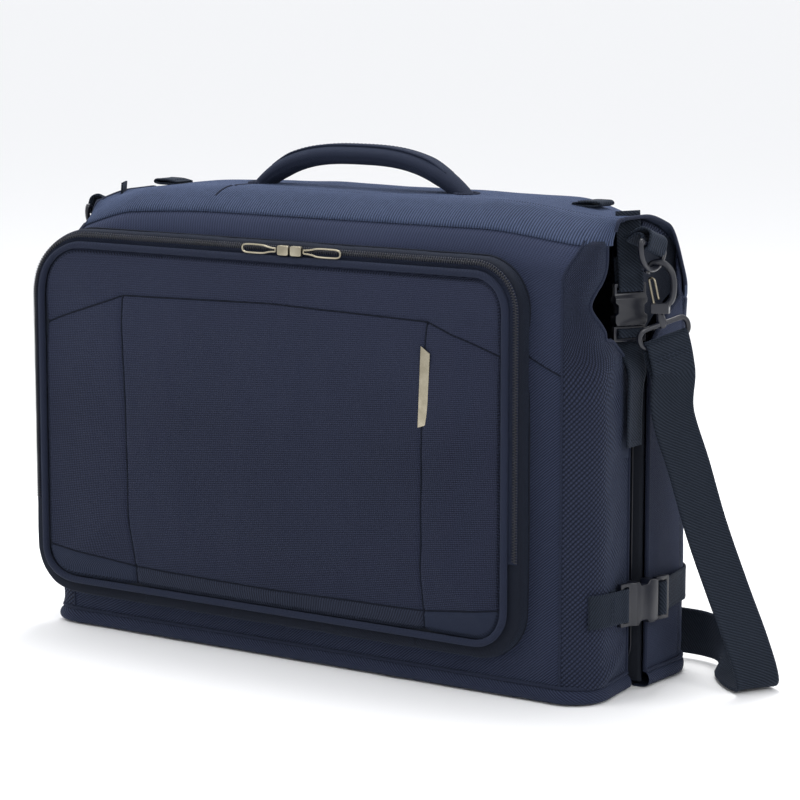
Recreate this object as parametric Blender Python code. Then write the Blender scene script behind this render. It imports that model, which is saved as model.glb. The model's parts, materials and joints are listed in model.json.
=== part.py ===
"""Bi-fold garment bag, folded over its spine, buckled shut and standing on the floor.

Metres. X runs across the bag, -Y points out of the front pocket, +Z is up. The origin is
the middle of the rear half's base. The right-hand fittings lie at +X, and the left-hand
ones mirror them, apart from the shoulder strap, which falls off the right side, lies
behind the bag and climbs to the left ring.
"""

from math import cos, pi, radians, sin

import bmesh
import bpy
from mathutils import Matrix, Vector

# Cases
HALF_WIDTH = 0.275
CASE_HEIGHT = 0.384
WALL = 0.004
REAR_OUT = 0.043
REAR_IN = -0.043
FRONT_IN = -0.057
FRONT_OUT = -0.133
FRONT_TAPER = 0.010
REAR_TOP = 0.3365
FRONT_CORNER = 0.028
REAR_CORNER = 0.035
CASE_MOUTH_FRONT = 0.2495
CASE_MOUTH_REAR = 0.2795
COVER_PLAY = 0.0006
COVER_THICKNESS = 0.003
COVER_HINGE_DROP = 0.0025

# Spine and its folds
SPINE_TOP = 0.402
SPINE_THICKNESS = 0.005
SPINE_HALF_WIDTH = 0.272
SPINE_FRONT_FOOT = 0.3885
SPINE_FRONT_ROLL = 0.013
SPINE_REAR_ROLL = 0.052
SPINE_REAR_FOOT = 0.338

# Front pocket
POCKET_LEFT, POCKET_RIGHT = -0.275, 0.216
POCKET_LOW, POCKET_HIGH = 0.033, 0.362
POCKET_RADIUS = 0.042
POCKET_BACK = -0.1333
POCKET_RIM = -0.1466
POCKET_FRAME = 0.010
LID_INSET = 0.009
LID_BACK = -0.1470
LID_FRONT = -0.1530
ZIP_INSET = 0.0045
ZIP_END_HEIGHT = 0.115

# Carry handle
HANDLE_MID = -0.010
HANDLE_HALF_SPAN = 0.113
HANDLE_Y = -0.045
HANDLE_TOP = 0.438
HANDLE_FOOT = 0.4072

# Webbing and its buckles
WEB = 0.028
WEB_THICKNESS = 0.0016
BUCKLE_HALF_WIDTH = 0.018
LOWER_BUCKLE_MOUTH = Vector((0.2845, -0.047, 0.078))
LOWER_BUCKLE_TURN = radians(12)
UPPER_BUCKLE_MOUTH = Vector((0.2665, -0.062, 0.3055))
UPPER_BUCKLE_TURN = radians(60)
UPPER_BUCKLE_SCALE = 0.82

# Shoulder strap and its hardware
D_RING_BAR = Vector((0.2900, -0.066, 0.3705))
D_RING_TILT = radians(-18)
D_RING_HALF_WIDTH = 0.019
D_RING_DEPTH = 0.018
HOOK_FOOT = Vector((0.2925, -0.0575, 0.3160))
HOOK_TURN = radians(20)
STRAP_TURN = radians(60)
STRAP_ROLL = radians(15)
STRAP_WIDTH = 0.040
STRAP_THICKNESS = 0.002
STRAP_BACK_Y = 0.068
STRAP_BACK_Z = 0.0245
STRAP_BACK_END = 0.245

GAP = 0.0004


# ---------------------------------------------------------------- shape tools

def make_material(name, color, roughness, metallic=0.0):
    material = bpy.data.materials.new(name)
    material.use_nodes = True
    shader = material.node_tree.nodes["Principled BSDF"]
    shader.inputs["Base Color"].default_value = (*color, 1.0)
    shader.inputs["Roughness"].default_value = roughness
    shader.inputs["Metallic"].default_value = metallic
    return material


def add_piece(name, mesh, material, origin=(0, 0, 0), smooth=False):
    """Make an object of a bmesh in world coordinates, with its origin on its joint."""
    origin = Vector(origin)
    bmesh.ops.recalc_face_normals(mesh, faces=mesh.faces)
    bmesh.ops.translate(mesh, verts=mesh.verts, vec=-origin)
    data = bpy.data.meshes.new(name)
    mesh.to_mesh(data)
    mesh.free()
    if smooth:
        data.shade_smooth()
        data.set_sharp_from_angle(angle=radians(40))
    data.materials.append(material)
    piece = bpy.data.objects.new(name, data)
    piece.location = origin
    bpy.context.scene.collection.objects.link(piece)
    return piece


def combine(piece, mesh, operation="DIFFERENCE"):
    """Cut a piece with a hidden cutter, or keep only what lies inside it."""
    cutter = add_piece(f"{piece.name}_cutter_{len(piece.modifiers)}", mesh, piece.data.materials[0])
    cutter.hide_render = True
    cutter.display_type = "WIRE"
    modifier = piece.modifiers.new(cutter.name, "BOOLEAN")
    modifier.operation = operation
    modifier.object = cutter
    return cutter


def fillet(corners, radii, steps=4):
    """Round each corner of a 2-D outline with an arc of its own radius."""
    outline = []
    for i, corner in enumerate(corners):
        corner = Vector(corner)
        radius = radii[i] if isinstance(radii, (list, tuple)) else radii
        if radius <= 0:
            outline.append(corner)
            continue
        back = (Vector(corners[i - 1]) - corner).normalized()
        ahead = (Vector(corners[(i + 1) % len(corners)]) - corner).normalized()
        half_angle = back.angle(ahead) / 2
        reach = radius / max(1e-6, sin(half_angle) / cos(half_angle))
        centre = corner + (back + ahead).normalized() * radius / sin(half_angle)
        start = corner + back * reach - centre
        end = corner + ahead * reach - centre
        for k in range(steps + 1):
            outline.append(centre + start.slerp(end, k / steps).normalized() * radius)
    return outline


def rounded_box(left, right, low, high, radius, steps=4):
    return fillet([(left, low), (right, low), (right, high), (left, high)], radius, steps)


def prism(outline, low, high, along):
    """Extrude a 2-D outline: (y, z) along X, (x, z) along Y or (x, y) along Z."""
    place = {
        "X": lambda p, t: (t, p[0], p[1]),
        "Y": lambda p, t: (p[0], t, p[1]),
        "Z": lambda p, t: (p[0], p[1], t),
    }[along]
    mesh = bmesh.new()
    first = [mesh.verts.new(place(p, low)) for p in outline]
    last = [mesh.verts.new(place(p, high)) for p in outline]
    mesh.faces.new(first)
    mesh.faces.new(last)
    for i in range(len(outline)):
        j = (i + 1) % len(outline)
        mesh.faces.new((first[i], first[j], last[j], last[i]))
    return mesh


def block(low, high):
    return prism([(low[0], low[1]), (high[0], low[1]), (high[0], high[1]), (low[0], high[1])],
                 low[2], high[2], "Z")


def sweep(stations, section, closed=False):
    """Carry a section of (a, b) points along stations of (centre, a direction, b direction)."""
    mesh = bmesh.new()
    rings = [[mesh.verts.new(c + a * u + b * v) for u, v in section] for c, a, b in stations]
    count = len(section)
    pairs = list(zip(rings, rings[1:]))
    if closed:
        pairs.append((rings[-1], rings[0]))
    for one, two in pairs:
        for i in range(count):
            j = (i + 1) % count
            mesh.faces.new((one[i], one[j], two[j], two[i]))
    if not closed:
        mesh.faces.new(rings[0])
        mesh.faces.new(rings[-1])
    return mesh


def tangents(points, closed=False):
    count = len(points)
    result = []
    for i in range(count):
        before = points[i - 1] if closed or i > 0 else points[i]
        after = points[(i + 1) % count] if closed or i < count - 1 else points[i]
        result.append((after - before).normalized())
    return result


def flat_tube(points, radius, normal, sides=8, closed=False, ellipse=1.0):
    """A tube along a flat path whose plane has the given normal."""
    normal = Vector(normal).normalized()
    stations = [(p, t.cross(normal).normalized(), normal)
                for p, t in zip(points, tangents(points, closed))]
    section = [(radius * cos(2 * pi * k / sides), radius * ellipse * sin(2 * pi * k / sides))
               for k in range(sides)]
    return sweep(stations, section, closed)


def band(points, across, width, thickness):
    """A flat strap along points. across is its width's direction, one or one for each point."""
    if not isinstance(across, list):
        across = [Vector(across)] * len(points)
    stations = []
    for i, (point, wide) in enumerate(zip(points, across)):
        ahead = (points[i + 1] - point).normalized() if i < len(points) - 1 else None
        behind = (point - points[i - 1]).normalized() if i > 0 else None
        if ahead is None or behind is None:
            along = ahead or behind
            stretch = 1.0
        else:
            along = (ahead + behind).normalized()
            stretch = 1 / max(0.5, along.dot(ahead))
        wide = (wide - along * wide.dot(along)).normalized()
        stations.append((point, wide, along.cross(wide) * stretch))
    w, t = width / 2, thickness / 2
    return sweep(stations, [(-w, -t), (w, -t), (w, t), (-w, t)])


def smooth_path(controls, per_span):
    """Catmull-Rom points through control points, each a Vector of any size."""
    padded = [controls[0] * 2 - controls[1]] + controls + [controls[-1] * 2 - controls[-2]]
    path = []
    for i in range(len(controls) - 1):
        a, b, c, d = padded[i:i + 4]
        for k in range(per_span):
            t = k / per_span
            path.append(0.5 * (b * 2 + (c - a) * t + (a * 2 - b * 5 + c * 4 - d) * t * t
                               + (b * 3 - a - c * 3 + d) * t ** 3))
    return path + [controls[-1]]


def mirrored(mesh, side):
    """The mesh itself at +X, or its mirror image at -X."""
    if side < 0:
        bmesh.ops.scale(mesh, vec=(-1, 1, 1), verts=mesh.verts)
    return mesh


def at_side(point, side):
    return Vector((point[0] * side, point[1], point[2]))


def side_name(side):
    return "right" if side > 0 else "left"


# ------------------------------------------------------------------- cases

def front_plan(inset=0.0):
    side = HALF_WIDTH - inset
    inner = side - FRONT_TAPER
    corners = [(-side, FRONT_OUT + inset), (side, FRONT_OUT + inset), (inner, FRONT_IN), (-inner, FRONT_IN)]
    return corners, [FRONT_CORNER - inset] * 2 + [0, 0]


def rear_plan(inset=0.0):
    side = HALF_WIDTH - inset
    corners = [(-side, REAR_IN), (side, REAR_IN), (side, REAR_OUT - inset), (-side, REAR_OUT - inset)]
    return corners, [0, 0] + [REAR_CORNER - inset] * 2


def reach_inwards(plan, past):
    """Carry a cavity's plan on past the case's open face."""
    corners, radii = plan
    face = FRONT_IN if past > FRONT_IN else REAR_IN
    return fillet([(x, past if abs(y - face) < 1e-9 else y) for x, y in corners], radii)


def case_shell(name, profile, plan, cavity_profile, cavity_plan, material):
    beyond = HALF_WIDTH + 0.02
    shell = add_piece(name, prism(profile, -beyond, beyond, "X"), material)
    combine(shell, prism(plan, -0.01, CASE_HEIGHT + 0.02, "Z"), "INTERSECT")
    cavity = combine(shell, prism(cavity_profile, -beyond, beyond, "X"))
    combine(cavity, prism(cavity_plan, -0.02, CASE_HEIGHT, "Z"), "INTERSECT")
    return shell


def build_front_case(cloth, plastic):
    hood_back = FRONT_IN - 0.048
    profile = [(FRONT_OUT, 0), (FRONT_IN, 0), (FRONT_IN, 0.255), (hood_back, 0.303),
               (hood_back, CASE_HEIGHT), (FRONT_OUT, CASE_HEIGHT)]
    inside = FRONT_OUT + WALL
    past = FRONT_IN + 0.007
    cavity = [(inside, WALL), (past, WALL), (past, CASE_MOUTH_FRONT), (FRONT_IN, CASE_MOUTH_FRONT),
              (hood_back - 0.003, 0.297), (inside, 0.297)]
    shell = case_shell("front_case", profile, fillet(*front_plan()), cavity,
                       reach_inwards(front_plan(WALL), past), cloth)
    hood = combine(shell, prism([(FRONT_OUT + 0.005, 0.3045), (FRONT_IN, 0.3045), (FRONT_IN, 0.42),
                                 (FRONT_OUT + 0.005, 0.42)], -0.3, 0.3, "X"))
    combine(hood, prism(reach_inwards(front_plan(0.005), past), 0.29, 0.43, "Z"), "INTERSECT")
    add_piece("front_stiffener", block((-0.235, inside + GAP, 0.020), (0.235, inside + GAP + 0.002, 0.285)),
              plastic)
    hinge = (0, FRONT_IN - 0.002, CASE_MOUTH_FRONT - COVER_HINGE_DROP)
    half = HALF_WIDTH - FRONT_TAPER - WALL - COVER_PLAY
    add_cover("front_inner_cover", half, hinge, cloth)


def build_rear_case(cloth, plastic):
    roll = [(0.0372, REAR_TOP), (0.0372, 0.352), (0.0325, 0.369), (0.022, 0.382), (0.012, 0.382),
            (0.012, 0.338)]
    profile = [(REAR_IN, 0), (REAR_OUT, 0), (REAR_OUT, REAR_TOP)] + roll + [(REAR_IN, 0.285)]
    inside = REAR_OUT - WALL
    past = REAR_IN - 0.007
    cavity = [(past, WALL), (inside, WALL), (inside, 0.332), (0.012, 0.332),
              (REAR_IN + 0.0028, CASE_MOUTH_REAR + 0.0027), (REAR_IN, CASE_MOUTH_REAR), (past, CASE_MOUTH_REAR)]
    case_shell("rear_case", profile, fillet(*rear_plan()), cavity,
               reach_inwards(rear_plan(WALL), past), cloth)
    add_piece("rear_stiffener", block((-0.225, inside - GAP - 0.002, 0.020), (0.225, inside - GAP, 0.320)),
              plastic)
    hinge = (0, REAR_IN + 0.002, CASE_MOUTH_REAR - COVER_HINGE_DROP)
    add_cover("rear_inner_cover", HALF_WIDTH - WALL - COVER_PLAY, hinge, cloth)


def add_cover(name, half_width, hinge, cloth):
    """A garment cover that closes a case's open face and swings from its upper edge."""
    half = COVER_THICKNESS / 2
    low = WALL + COVER_PLAY
    add_piece(name, block((-half_width, hinge[1] - half, low), (half_width, hinge[1] + half, hinge[2])),
              cloth, hinge)


def gusset_x(y):
    """Where the front half's side stands at a depth y, behind its rounded corner."""
    return HALF_WIDTH - FRONT_TAPER * (y - FRONT_OUT) / (FRONT_IN - FRONT_OUT)


def build_gusset_patch(side, cloth):
    outline = [(-0.101, 0.200), (-0.060, 0.196), (-0.060, 0.245), (-0.101, 0.286)]
    mesh = prism(outline, 0, 0.0012, "X")
    for vertex in mesh.verts:
        vertex.co.x += gusset_x(vertex.co.y) + GAP
    add_piece(f"gusset_patch_{side_name(side)}", mirrored(mesh, side), cloth)


# ------------------------------------------------------------------- spine

def build_spine(cloth):
    front_centre = (FRONT_OUT + SPINE_FRONT_ROLL, SPINE_TOP - SPINE_FRONT_ROLL)
    rear_centre = (REAR_OUT - SPINE_REAR_ROLL, SPINE_TOP - SPINE_REAR_ROLL)

    def arch(inset):
        points = [(FRONT_OUT + inset, SPINE_FRONT_FOOT)]
        points += arc(front_centre, SPINE_FRONT_ROLL - inset, 180, 90, 4)
        points += arc(rear_centre, SPINE_REAR_ROLL - inset, 90, 0, 6)
        return points + [(REAR_OUT - inset, SPINE_REAR_FOOT)]

    outline = arch(0) + arch(SPINE_THICKNESS)[::-1]
    spine = add_piece("spine_panel", prism(outline, -SPINE_HALF_WIDTH, SPINE_HALF_WIDTH, "X"), cloth,
                      (0, REAR_OUT, REAR_TOP), smooth=True)
    corners = [(-SPINE_HALF_WIDTH, FRONT_OUT), (SPINE_HALF_WIDTH, FRONT_OUT),
               (SPINE_HALF_WIDTH, REAR_OUT), (-SPINE_HALF_WIDTH, REAR_OUT)]
    plan = fillet(corners, [FRONT_CORNER, FRONT_CORNER, REAR_CORNER, REAR_CORNER])
    combine(spine, prism(plan, 0.30, 0.45, "Z"), "INTERSECT")


def arc(centre, radius, start, end, steps):
    angles = [radians(start + (end - start) * k / steps) for k in range(steps + 1)]
    return [(centre[0] + radius * cos(a), centre[1] + radius * sin(a)) for a in angles]


def build_handle(cloth, plastic):
    """A padded grip that rises from two slots in the spine, with a flat cap strip on it."""
    steps = 20
    stations, cap = [], []
    for k in range(steps + 1):
        u = -1 + 2 * k / steps
        x = HANDLE_MID + HANDLE_HALF_SPAN * u
        rise = (1 - abs(u) ** 2.6) ** 0.8
        z = HANDLE_FOOT + (HANDLE_TOP - HANDLE_FOOT - 0.008) * rise
        fill = min(1.0, 0.42 + 1.5 * (1 - abs(u)))
        stations.append((Vector((x, HANDLE_Y, z)), fill))
        cap.append(Vector((x, HANDLE_Y, z + 0.0072 * fill + 0.0012)))
    points = [p for p, _ in stations]
    frames = [(p, Vector((0, 1, 0)) * fill, Vector((1, 0, 0)).cross(Vector((0, 1, 0))) * fill)
              for p, fill in stations]
    section = [(0.0125 * cos(2 * pi * k / 10), 0.0070 * sin(2 * pi * k / 10)) for k in range(10)]
    hinge = (HANDLE_MID, HANDLE_Y, HANDLE_FOOT)
    grip = sweep(frames, section)
    add_piece("handle_grip", grip, cloth, hinge, smooth=True)
    inner = cap[3:-3]
    add_piece("handle_cap", band(inner, Vector((0, 1, 0)), 0.013, 0.0016), plastic, hinge)
    for side in (1, -1):
        x = HANDLE_MID + side * (HANDLE_HALF_SPAN + 0.002)
        outline = rounded_box(x - 0.017, x + 0.017, HANDLE_Y - 0.017, HANDLE_Y + 0.017, 0.004, 2)
        top = SPINE_TOP - SPINE_THICKNESS - GAP
        add_piece(f"handle_anchor_{side_name(side)}", prism(outline, top - 0.002, top, "Z"), plastic)
    return points


def build_top_loop(side, web):
    """A small pull loop of webbing, folded on itself and sewn on top of the spine."""
    low = SPINE_TOP + GAP + WEB_THICKNESS / 2
    high = low + 0.0042
    path = [Vector((x, HANDLE_Y, z)) for x, z in (
        (0.204, low), (0.228, low), (0.2325, low + 0.0008), (0.2335, (low + high) / 2),
        (0.2325, high - 0.0006), (0.228, high), (0.218, high), (0.209, high - 0.0016))]
    add_piece(f"top_loop_{side_name(side)}", mirrored(band(path, Vector((0, 1, 0)), 0.022, WEB_THICKNESS), side),
              web)


# ------------------------------------------------------------ front pocket

def pocket_outline(inset, steps=5):
    return rounded_box(POCKET_LEFT + inset, POCKET_RIGHT - inset, POCKET_LOW + inset, POCKET_HIGH - inset,
                       POCKET_RADIUS - inset, steps)


def build_pocket(cloth, zip_material, metal):
    frame = add_piece("pocket_frame", prism(pocket_outline(0), POCKET_RIM, POCKET_BACK, "Y"), cloth)
    combine(frame, prism(pocket_outline(POCKET_FRAME), POCKET_RIM - 0.01, POCKET_BACK + 0.01, "Y"))
    hinge = (0, LID_BACK, POCKET_LOW + LID_INSET)
    add_piece("pocket_panel", prism(pocket_outline(LID_INSET), LID_FRONT, LID_BACK, "Y"), cloth, hinge)
    left, right = POCKET_LEFT + ZIP_INSET, POCKET_RIGHT - ZIP_INSET
    top = POCKET_HIGH - ZIP_INSET
    radius = POCKET_RADIUS - ZIP_INSET
    centre_y = (LID_BACK + LID_BACK - 0.0016) / 2
    route = [(left, ZIP_END_HEIGHT)] + arc((left + radius, top - radius), radius, 180, 90, 5)
    route += arc((right - radius, top - radius), radius, 90, 0, 5) + [(right, ZIP_END_HEIGHT)]
    path = [Vector((x, centre_y - 0.0002, z)) for x, z in route]
    stations = [(p, t.cross(Vector((0, 1, 0))), Vector((0, 1, 0))) for p, t in zip(path, tangents(path))]
    half = 0.0036
    add_piece("pocket_zip", sweep(stations, [(-half, -0.001), (half, -0.001), (half, 0.001), (-half, 0.001)]),
              zip_material)
    plate = [(0.1245, 0.2205), (0.1335, 0.2235), (0.1365, 0.2825), (0.1275, 0.2885)]
    add_piece("label_plate", prism(plate, LID_FRONT - GAP - 0.0012, LID_FRONT - GAP, "Y"), metal)


def build_slider(side, metal):
    """A zip slider with a tubular lock eyelet, and its flat open-framed pull."""
    name = side_name(side)
    middle = -0.0095
    z = POCKET_HIGH - ZIP_INSET
    back = LID_BACK - 0.0026
    near, far = 0.0010, 0.0125

    def outward(x):
        return middle + side * x

    body = rounded_box(near, far, z - 0.0042, z + 0.0042, 0.0015, 2)
    body = [(outward(x), zz) for x, zz in body]
    slider = add_piece(f"slider_{name}", prism(body, back - 0.0042, back, "Y"), metal, (outward(far), back, z))
    groove = block((min(outward(0.0035), outward(0.0095)), back - 0.0030, z - 0.006),
                   (max(outward(0.0035), outward(0.0095)), back - 0.0016, z + 0.006))
    combine(slider, groove)
    pivot = (outward(far + 0.0022), back - 0.0030, z)
    length = 0.037 if side < 0 else 0.040
    outline = [(outward(far + 0.0012 + x), z + zz) for x, zz in (
        (0, -0.0022), (0.010, -0.0040), (length - 0.004, -0.0042), (length, -0.0022),
        (length, 0.0022), (length - 0.004, 0.0042), (0.010, 0.0040), (0, 0.0022))]
    pull = add_piece(f"zip_pull_{name}", prism(outline, pivot[1] - 0.0009, pivot[1] + 0.0009, "Y"), metal, pivot)
    window = [(outward(far + 0.0012 + x), z + zz) for x, zz in (
        (0.012, -0.0018), (length - 0.008, -0.0020), (length - 0.008, 0.0020), (0.012, 0.0018))]
    combine(pull, prism(window, pivot[1] - 0.003, pivot[1] + 0.003, "Y"))


# --------------------------------------------------- side-release buckles

def lower_buckle_frame():
    """Local +Y runs from the female part to the male part, and local X faces out."""
    return Matrix.Translation(LOWER_BUCKLE_MOUTH) @ Matrix.Rotation(-LOWER_BUCKLE_TURN, 4, "Z")


def upper_buckle_frame():
    """The same buckle hung upright: local +Y points down."""
    wide = Vector((cos(UPPER_BUCKLE_TURN), sin(UPPER_BUCKLE_TURN), 0))
    down = Vector((0, 0, -1))
    face = down.cross(wide)
    turn = Matrix((face, down, wide)).transposed().to_4x4()
    return Matrix.Translation(UPPER_BUCKLE_MOUTH) @ turn @ Matrix.Scale(UPPER_BUCKLE_SCALE, 4)


def placed(mesh, frame, side):
    bmesh.ops.transform(mesh, matrix=frame, verts=mesh.verts)
    return mirrored(mesh, side)


def both_edges(edge):
    return edge + [(y, -z) for y, z in edge[::-1]]


def build_female(name, frame, side, plastic):
    wide = BUCKLE_HALF_WIDTH
    edge = [(0, wide - 0.002), (-0.004, wide), (-0.010, wide), (-0.0125, wide - 0.0034),
            (-0.0205, wide - 0.0034), (-0.023, wide), (-0.042, wide)]
    piece = add_piece(name, placed(prism(both_edges(edge), -0.006, 0.006, "X"), frame, side), plastic)
    thick, thin = 0.0055, 0.0025
    depth = [(thick, 0.001), (thick, -0.027), (thin, -0.031), (thin, -0.043)]
    depth = depth + [(-x, y) for x, y in depth[::-1]]
    combine(piece, placed(prism(depth, -0.02, 0.02, "Z"), frame, side), "INTERSECT")
    combine(piece, placed(block((-0.0040, -0.024, -0.0138), (0.0040, 0.002, 0.0138)), frame, side))
    combine(piece, placed(block((-0.008, -0.038, -0.0148), (0.008, -0.0325, 0.0148)), frame, side))


def build_male(name, frame, side, plastic, origin=(0, 0, 0)):
    """The ladder-lock frame with three short prongs, which have play inside the female part."""
    wide, tip = BUCKLE_HALF_WIDTH, -0.0085
    edge = [(tip, 0.0015), (0.0006, 0.0015), (0.0006, 0.0055), (tip + 0.001, 0.0055), (tip, 0.0070),
            (tip, 0.0095), (0.0006, 0.0098), (0.0006, wide - 0.001), (0.0016, wide), (0.016, wide)]
    piece = add_piece(name, placed(prism(both_edges(edge), -0.004, 0.004, "X"), frame, side), plastic, origin)
    thick, thin = 0.0025, 0.0016
    depth = [(thin, tip - 0.001), (thin, 0.0002), (thick, 0.0011), (thick, 0.017)]
    depth = depth + [(-x, y) for x, y in depth[::-1]]
    combine(piece, placed(prism(depth, -0.02, 0.02, "Z"), frame, side), "INTERSECT")
    for start in (0.0030, 0.0095):
        combine(piece, placed(block((-0.005, start, -0.0148), (0.005, start + 0.0035, 0.0148)), frame, side))


def local_path(frame, points):
    return [frame @ Vector((x, y, 0)) for x, y in points]


LADDER_LACING = [(-0.0037, 0.01125), (0.0037, 0.01125), (0.0037, 0.00475), (-0.0022, 0.00475)]
BAR_HAIRPIN = [(0.0037, -0.044), (0.0037, -0.0352), (-0.0037, -0.0352), (-0.0037, -0.044)]


def build_lower_strap(side, web, plastic):
    """The compression strap: its front end sewn to the front half, its rear end to the rear."""
    name = side_name(side)
    frame = lower_buckle_frame()
    height = LOWER_BUCKLE_MOUTH.z
    front = [Vector((x, y, height)) for x, y in ((0.2690, -0.1250), (0.2730, -0.1170), (0.2756, -0.1060))]
    under = [Vector((0.2724, -0.1000, height))]
    path = front + local_path(frame, BAR_HAIRPIN) + under
    add_piece(f"lower_strap_front_{name}", mirrored(band(path, Vector((0, 0, 1)), WEB, WEB_THICKNESS), side), web)
    offset = GAP + WEB_THICKNESS / 2
    corner = (HALF_WIDTH - REAR_CORNER, REAR_OUT - REAR_CORNER)
    around = [(0.2805, -0.009), (0.2772, 0.001)] + arc(corner, REAR_CORNER + offset, 0, 90, 6)
    around.append((0.205, REAR_OUT + offset))
    path = [Vector((x, y, height)) for x, y in around[::-1]]
    path += local_path(frame, [(-0.0037, 0.018)] + LADDER_LACING)
    add_piece(f"lower_strap_rear_{name}", mirrored(band(path, Vector((0, 0, 1)), WEB, WEB_THICKNESS), side), web)
    build_female(f"lower_buckle_female_{name}", frame, side, plastic)
    build_male(f"lower_buckle_male_{name}", frame, side, plastic)


def build_upper_strap(side, web, plastic):
    """The strap that hangs from the spine's end, with its buckle and its lower webbing."""
    name = side_name(side)
    frame = upper_buckle_frame()
    wide = (frame.to_3x3() @ Vector((0, 0, 1))).normalized()
    width = WEB * UPPER_BUCKLE_SCALE
    root = SPINE_TOP - SPINE_THICKNESS - 0.001
    loop = local_path(frame, BAR_HAIRPIN)
    hang = [loop[0] + Vector((-0.0045, 0.001, root - loop[0].z)), loop[0] + Vector((-0.002, 0, 0.026))]
    back = [loop[-1] + Vector((-0.002, 0, 0.020))]
    add_piece(f"upper_strap_top_{name}", mirrored(band(hang + loop + back, wide, width, WEB_THICKNESS), side), web)
    build_female(f"upper_buckle_female_{name}", frame, side, plastic)
    origin = at_side(UPPER_BUCKLE_MOUTH, side)
    build_male(f"upper_buckle_male_{name}", frame, side, plastic, origin)
    lacing = local_path(frame, LADDER_LACING[::-1] + [(-0.0037, 0.019)])
    lower = [Vector((0.2755, -0.0640, 0.272)), Vector((0.2760, -0.0660, 0.252)), Vector((0.2750, -0.0660, 0.207))]
    widths = [wide] * len(lacing) + [Vector((0.2, 1, 0)), Vector((0, 1, 0)), Vector((0, 1, 0))]
    add_piece(f"upper_strap_tail_{name}", mirrored(band(lacing + lower, widths, width, WEB_THICKNESS), side),
              web, origin)


# ------------------------------------------------- shoulder-strap hardware

def d_ring_frame():
    return Matrix.Translation(D_RING_BAR) @ Matrix.Rotation(D_RING_TILT, 4, "X")


def build_d_ring(side, metal, web):
    name = side_name(side)
    frame = d_ring_frame()
    points = [Vector((0, -D_RING_HALF_WIDTH, 0))]
    steps = 12
    for k in range(steps + 1):
        angle = pi + pi * k / steps
        c, s = cos(angle), sin(angle)
        y = D_RING_HALF_WIDTH * (1 if c > 0 else -1) * abs(c) ** 0.7
        z = -0.003 - (D_RING_DEPTH - 0.003) * abs(s) ** 0.7
        points.append(Vector((0, y, z)))
    points.append(Vector((0, D_RING_HALF_WIDTH, 0)))
    ring = flat_tube(points, 0.0023, (1, 0, 0), 8, closed=True)
    add_piece(f"d_ring_{name}", placed(ring, frame, side), metal, at_side(D_RING_BAR, side), smooth=True)
    reach = 0.0023 + GAP + WEB_THICKNESS / 2 + 0.0003
    fold = [(reach * cos(a), reach * sin(a)) for a in [radians(-180 * k / 6) for k in range(7)]]
    path = [Vector((-0.0120, 0, 0.0215)), Vector((-0.0050, 0, 0.0185)), Vector((reach - 0.0005, 0, 0.0100))]
    path += [Vector((x, 0, z)) for x, z in fold]
    path += [Vector((-reach, 0, 0.0070)), Vector((-0.0095, 0, 0.0165))]
    tab = placed(band(path, Vector((0, 1, 0)), WEB, WEB_THICKNESS), frame, side)
    add_piece(f"ring_tab_{name}", tab, web, at_side((D_RING_BAR.x, D_RING_BAR.y, CASE_HEIGHT), side))


def hook_frame(turn=HOOK_TURN):
    """Local X runs across the hook, from its gate to its back. Local Y faces away from it."""
    return Matrix.Translation(HOOK_FOOT) @ Matrix.Rotation(turn, 4, "Z")


def strap_across():
    return hook_frame(STRAP_TURN).to_3x3() @ Vector((1, 0, 0))


def build_hook(side, plastic, metal):
    name = side_name(side)
    frame = hook_frame()
    origin = at_side(HOOK_FOOT, side)
    spine_curve = smooth_path([Vector(p) for p in (
        (0.0040, 0.0, 0.0060), (0.0098, 0.0, 0.0120), (0.0112, 0.0, 0.0240), (0.0088, 0.0, 0.0350),
        (0.0010, 0.0, 0.0420), (-0.0075, 0.0, 0.0400), (-0.0112, 0.0, 0.0330))], 3)
    hook = add_piece(f"snap_hook_{name}", placed(flat_tube(spine_curve, 0.0028, (0, 1, 0), 8), frame, side),
                     plastic, origin, smooth=True)
    combine(hook, placed(block((-0.0066, -0.0042, 0.0004), (0.0080, 0.0042, 0.0086)), frame, side), "UNION")
    gate = [(-0.0050, 0.0092), (-0.0028, 0.0092), (-0.0086, 0.0285), (-0.0108, 0.0285)]
    mesh = placed(prism(gate, -0.0028, 0.0028, "Y"), frame, side)
    add_piece(f"hook_gate_{name}", mesh, metal, frame_point(frame, (-0.0039, 0, 0.0096), side))


def frame_point(frame, point, side):
    return at_side(frame @ Vector(point), side)


def build_strap_ring(side, plastic):
    """A swivel post and the rectangular ring that the shoulder strap is sewn around."""
    name = side_name(side)
    frame = hook_frame(STRAP_TURN)
    half, height, drop = 0.0232, 0.0150, 0.0085
    roll = strap_roll(side)
    corners = fillet([(-half, 0), (half, 0), (half, -height), (-half, -height)], 0.0045, 2)
    points = [roll @ Vector((x, 0, z - drop)) for x, z in corners]
    ring = add_piece(f"strap_ring_{name}", placed(flat_tube(points, 0.0023, (0, 1, 0), 6, closed=True), frame, side),
                     plastic, at_side(HOOK_FOOT, side), smooth=True)
    post = [(0.0035 * cos(2 * pi * k / 10), 0.0035 * sin(2 * pi * k / 10)) for k in range(10)]
    combine(ring, placed(prism(post, -drop, 0.0, "Z"), frame, side), "UNION")


def strap_roll(side):
    """The ring's roll in the hook's plane: the strap leans out on the right, hangs on the left."""
    return Matrix.Rotation(-STRAP_ROLL if side > 0 else 0.0, 4, "Y")


# ---------------------------------------------------------- shoulder strap

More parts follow.
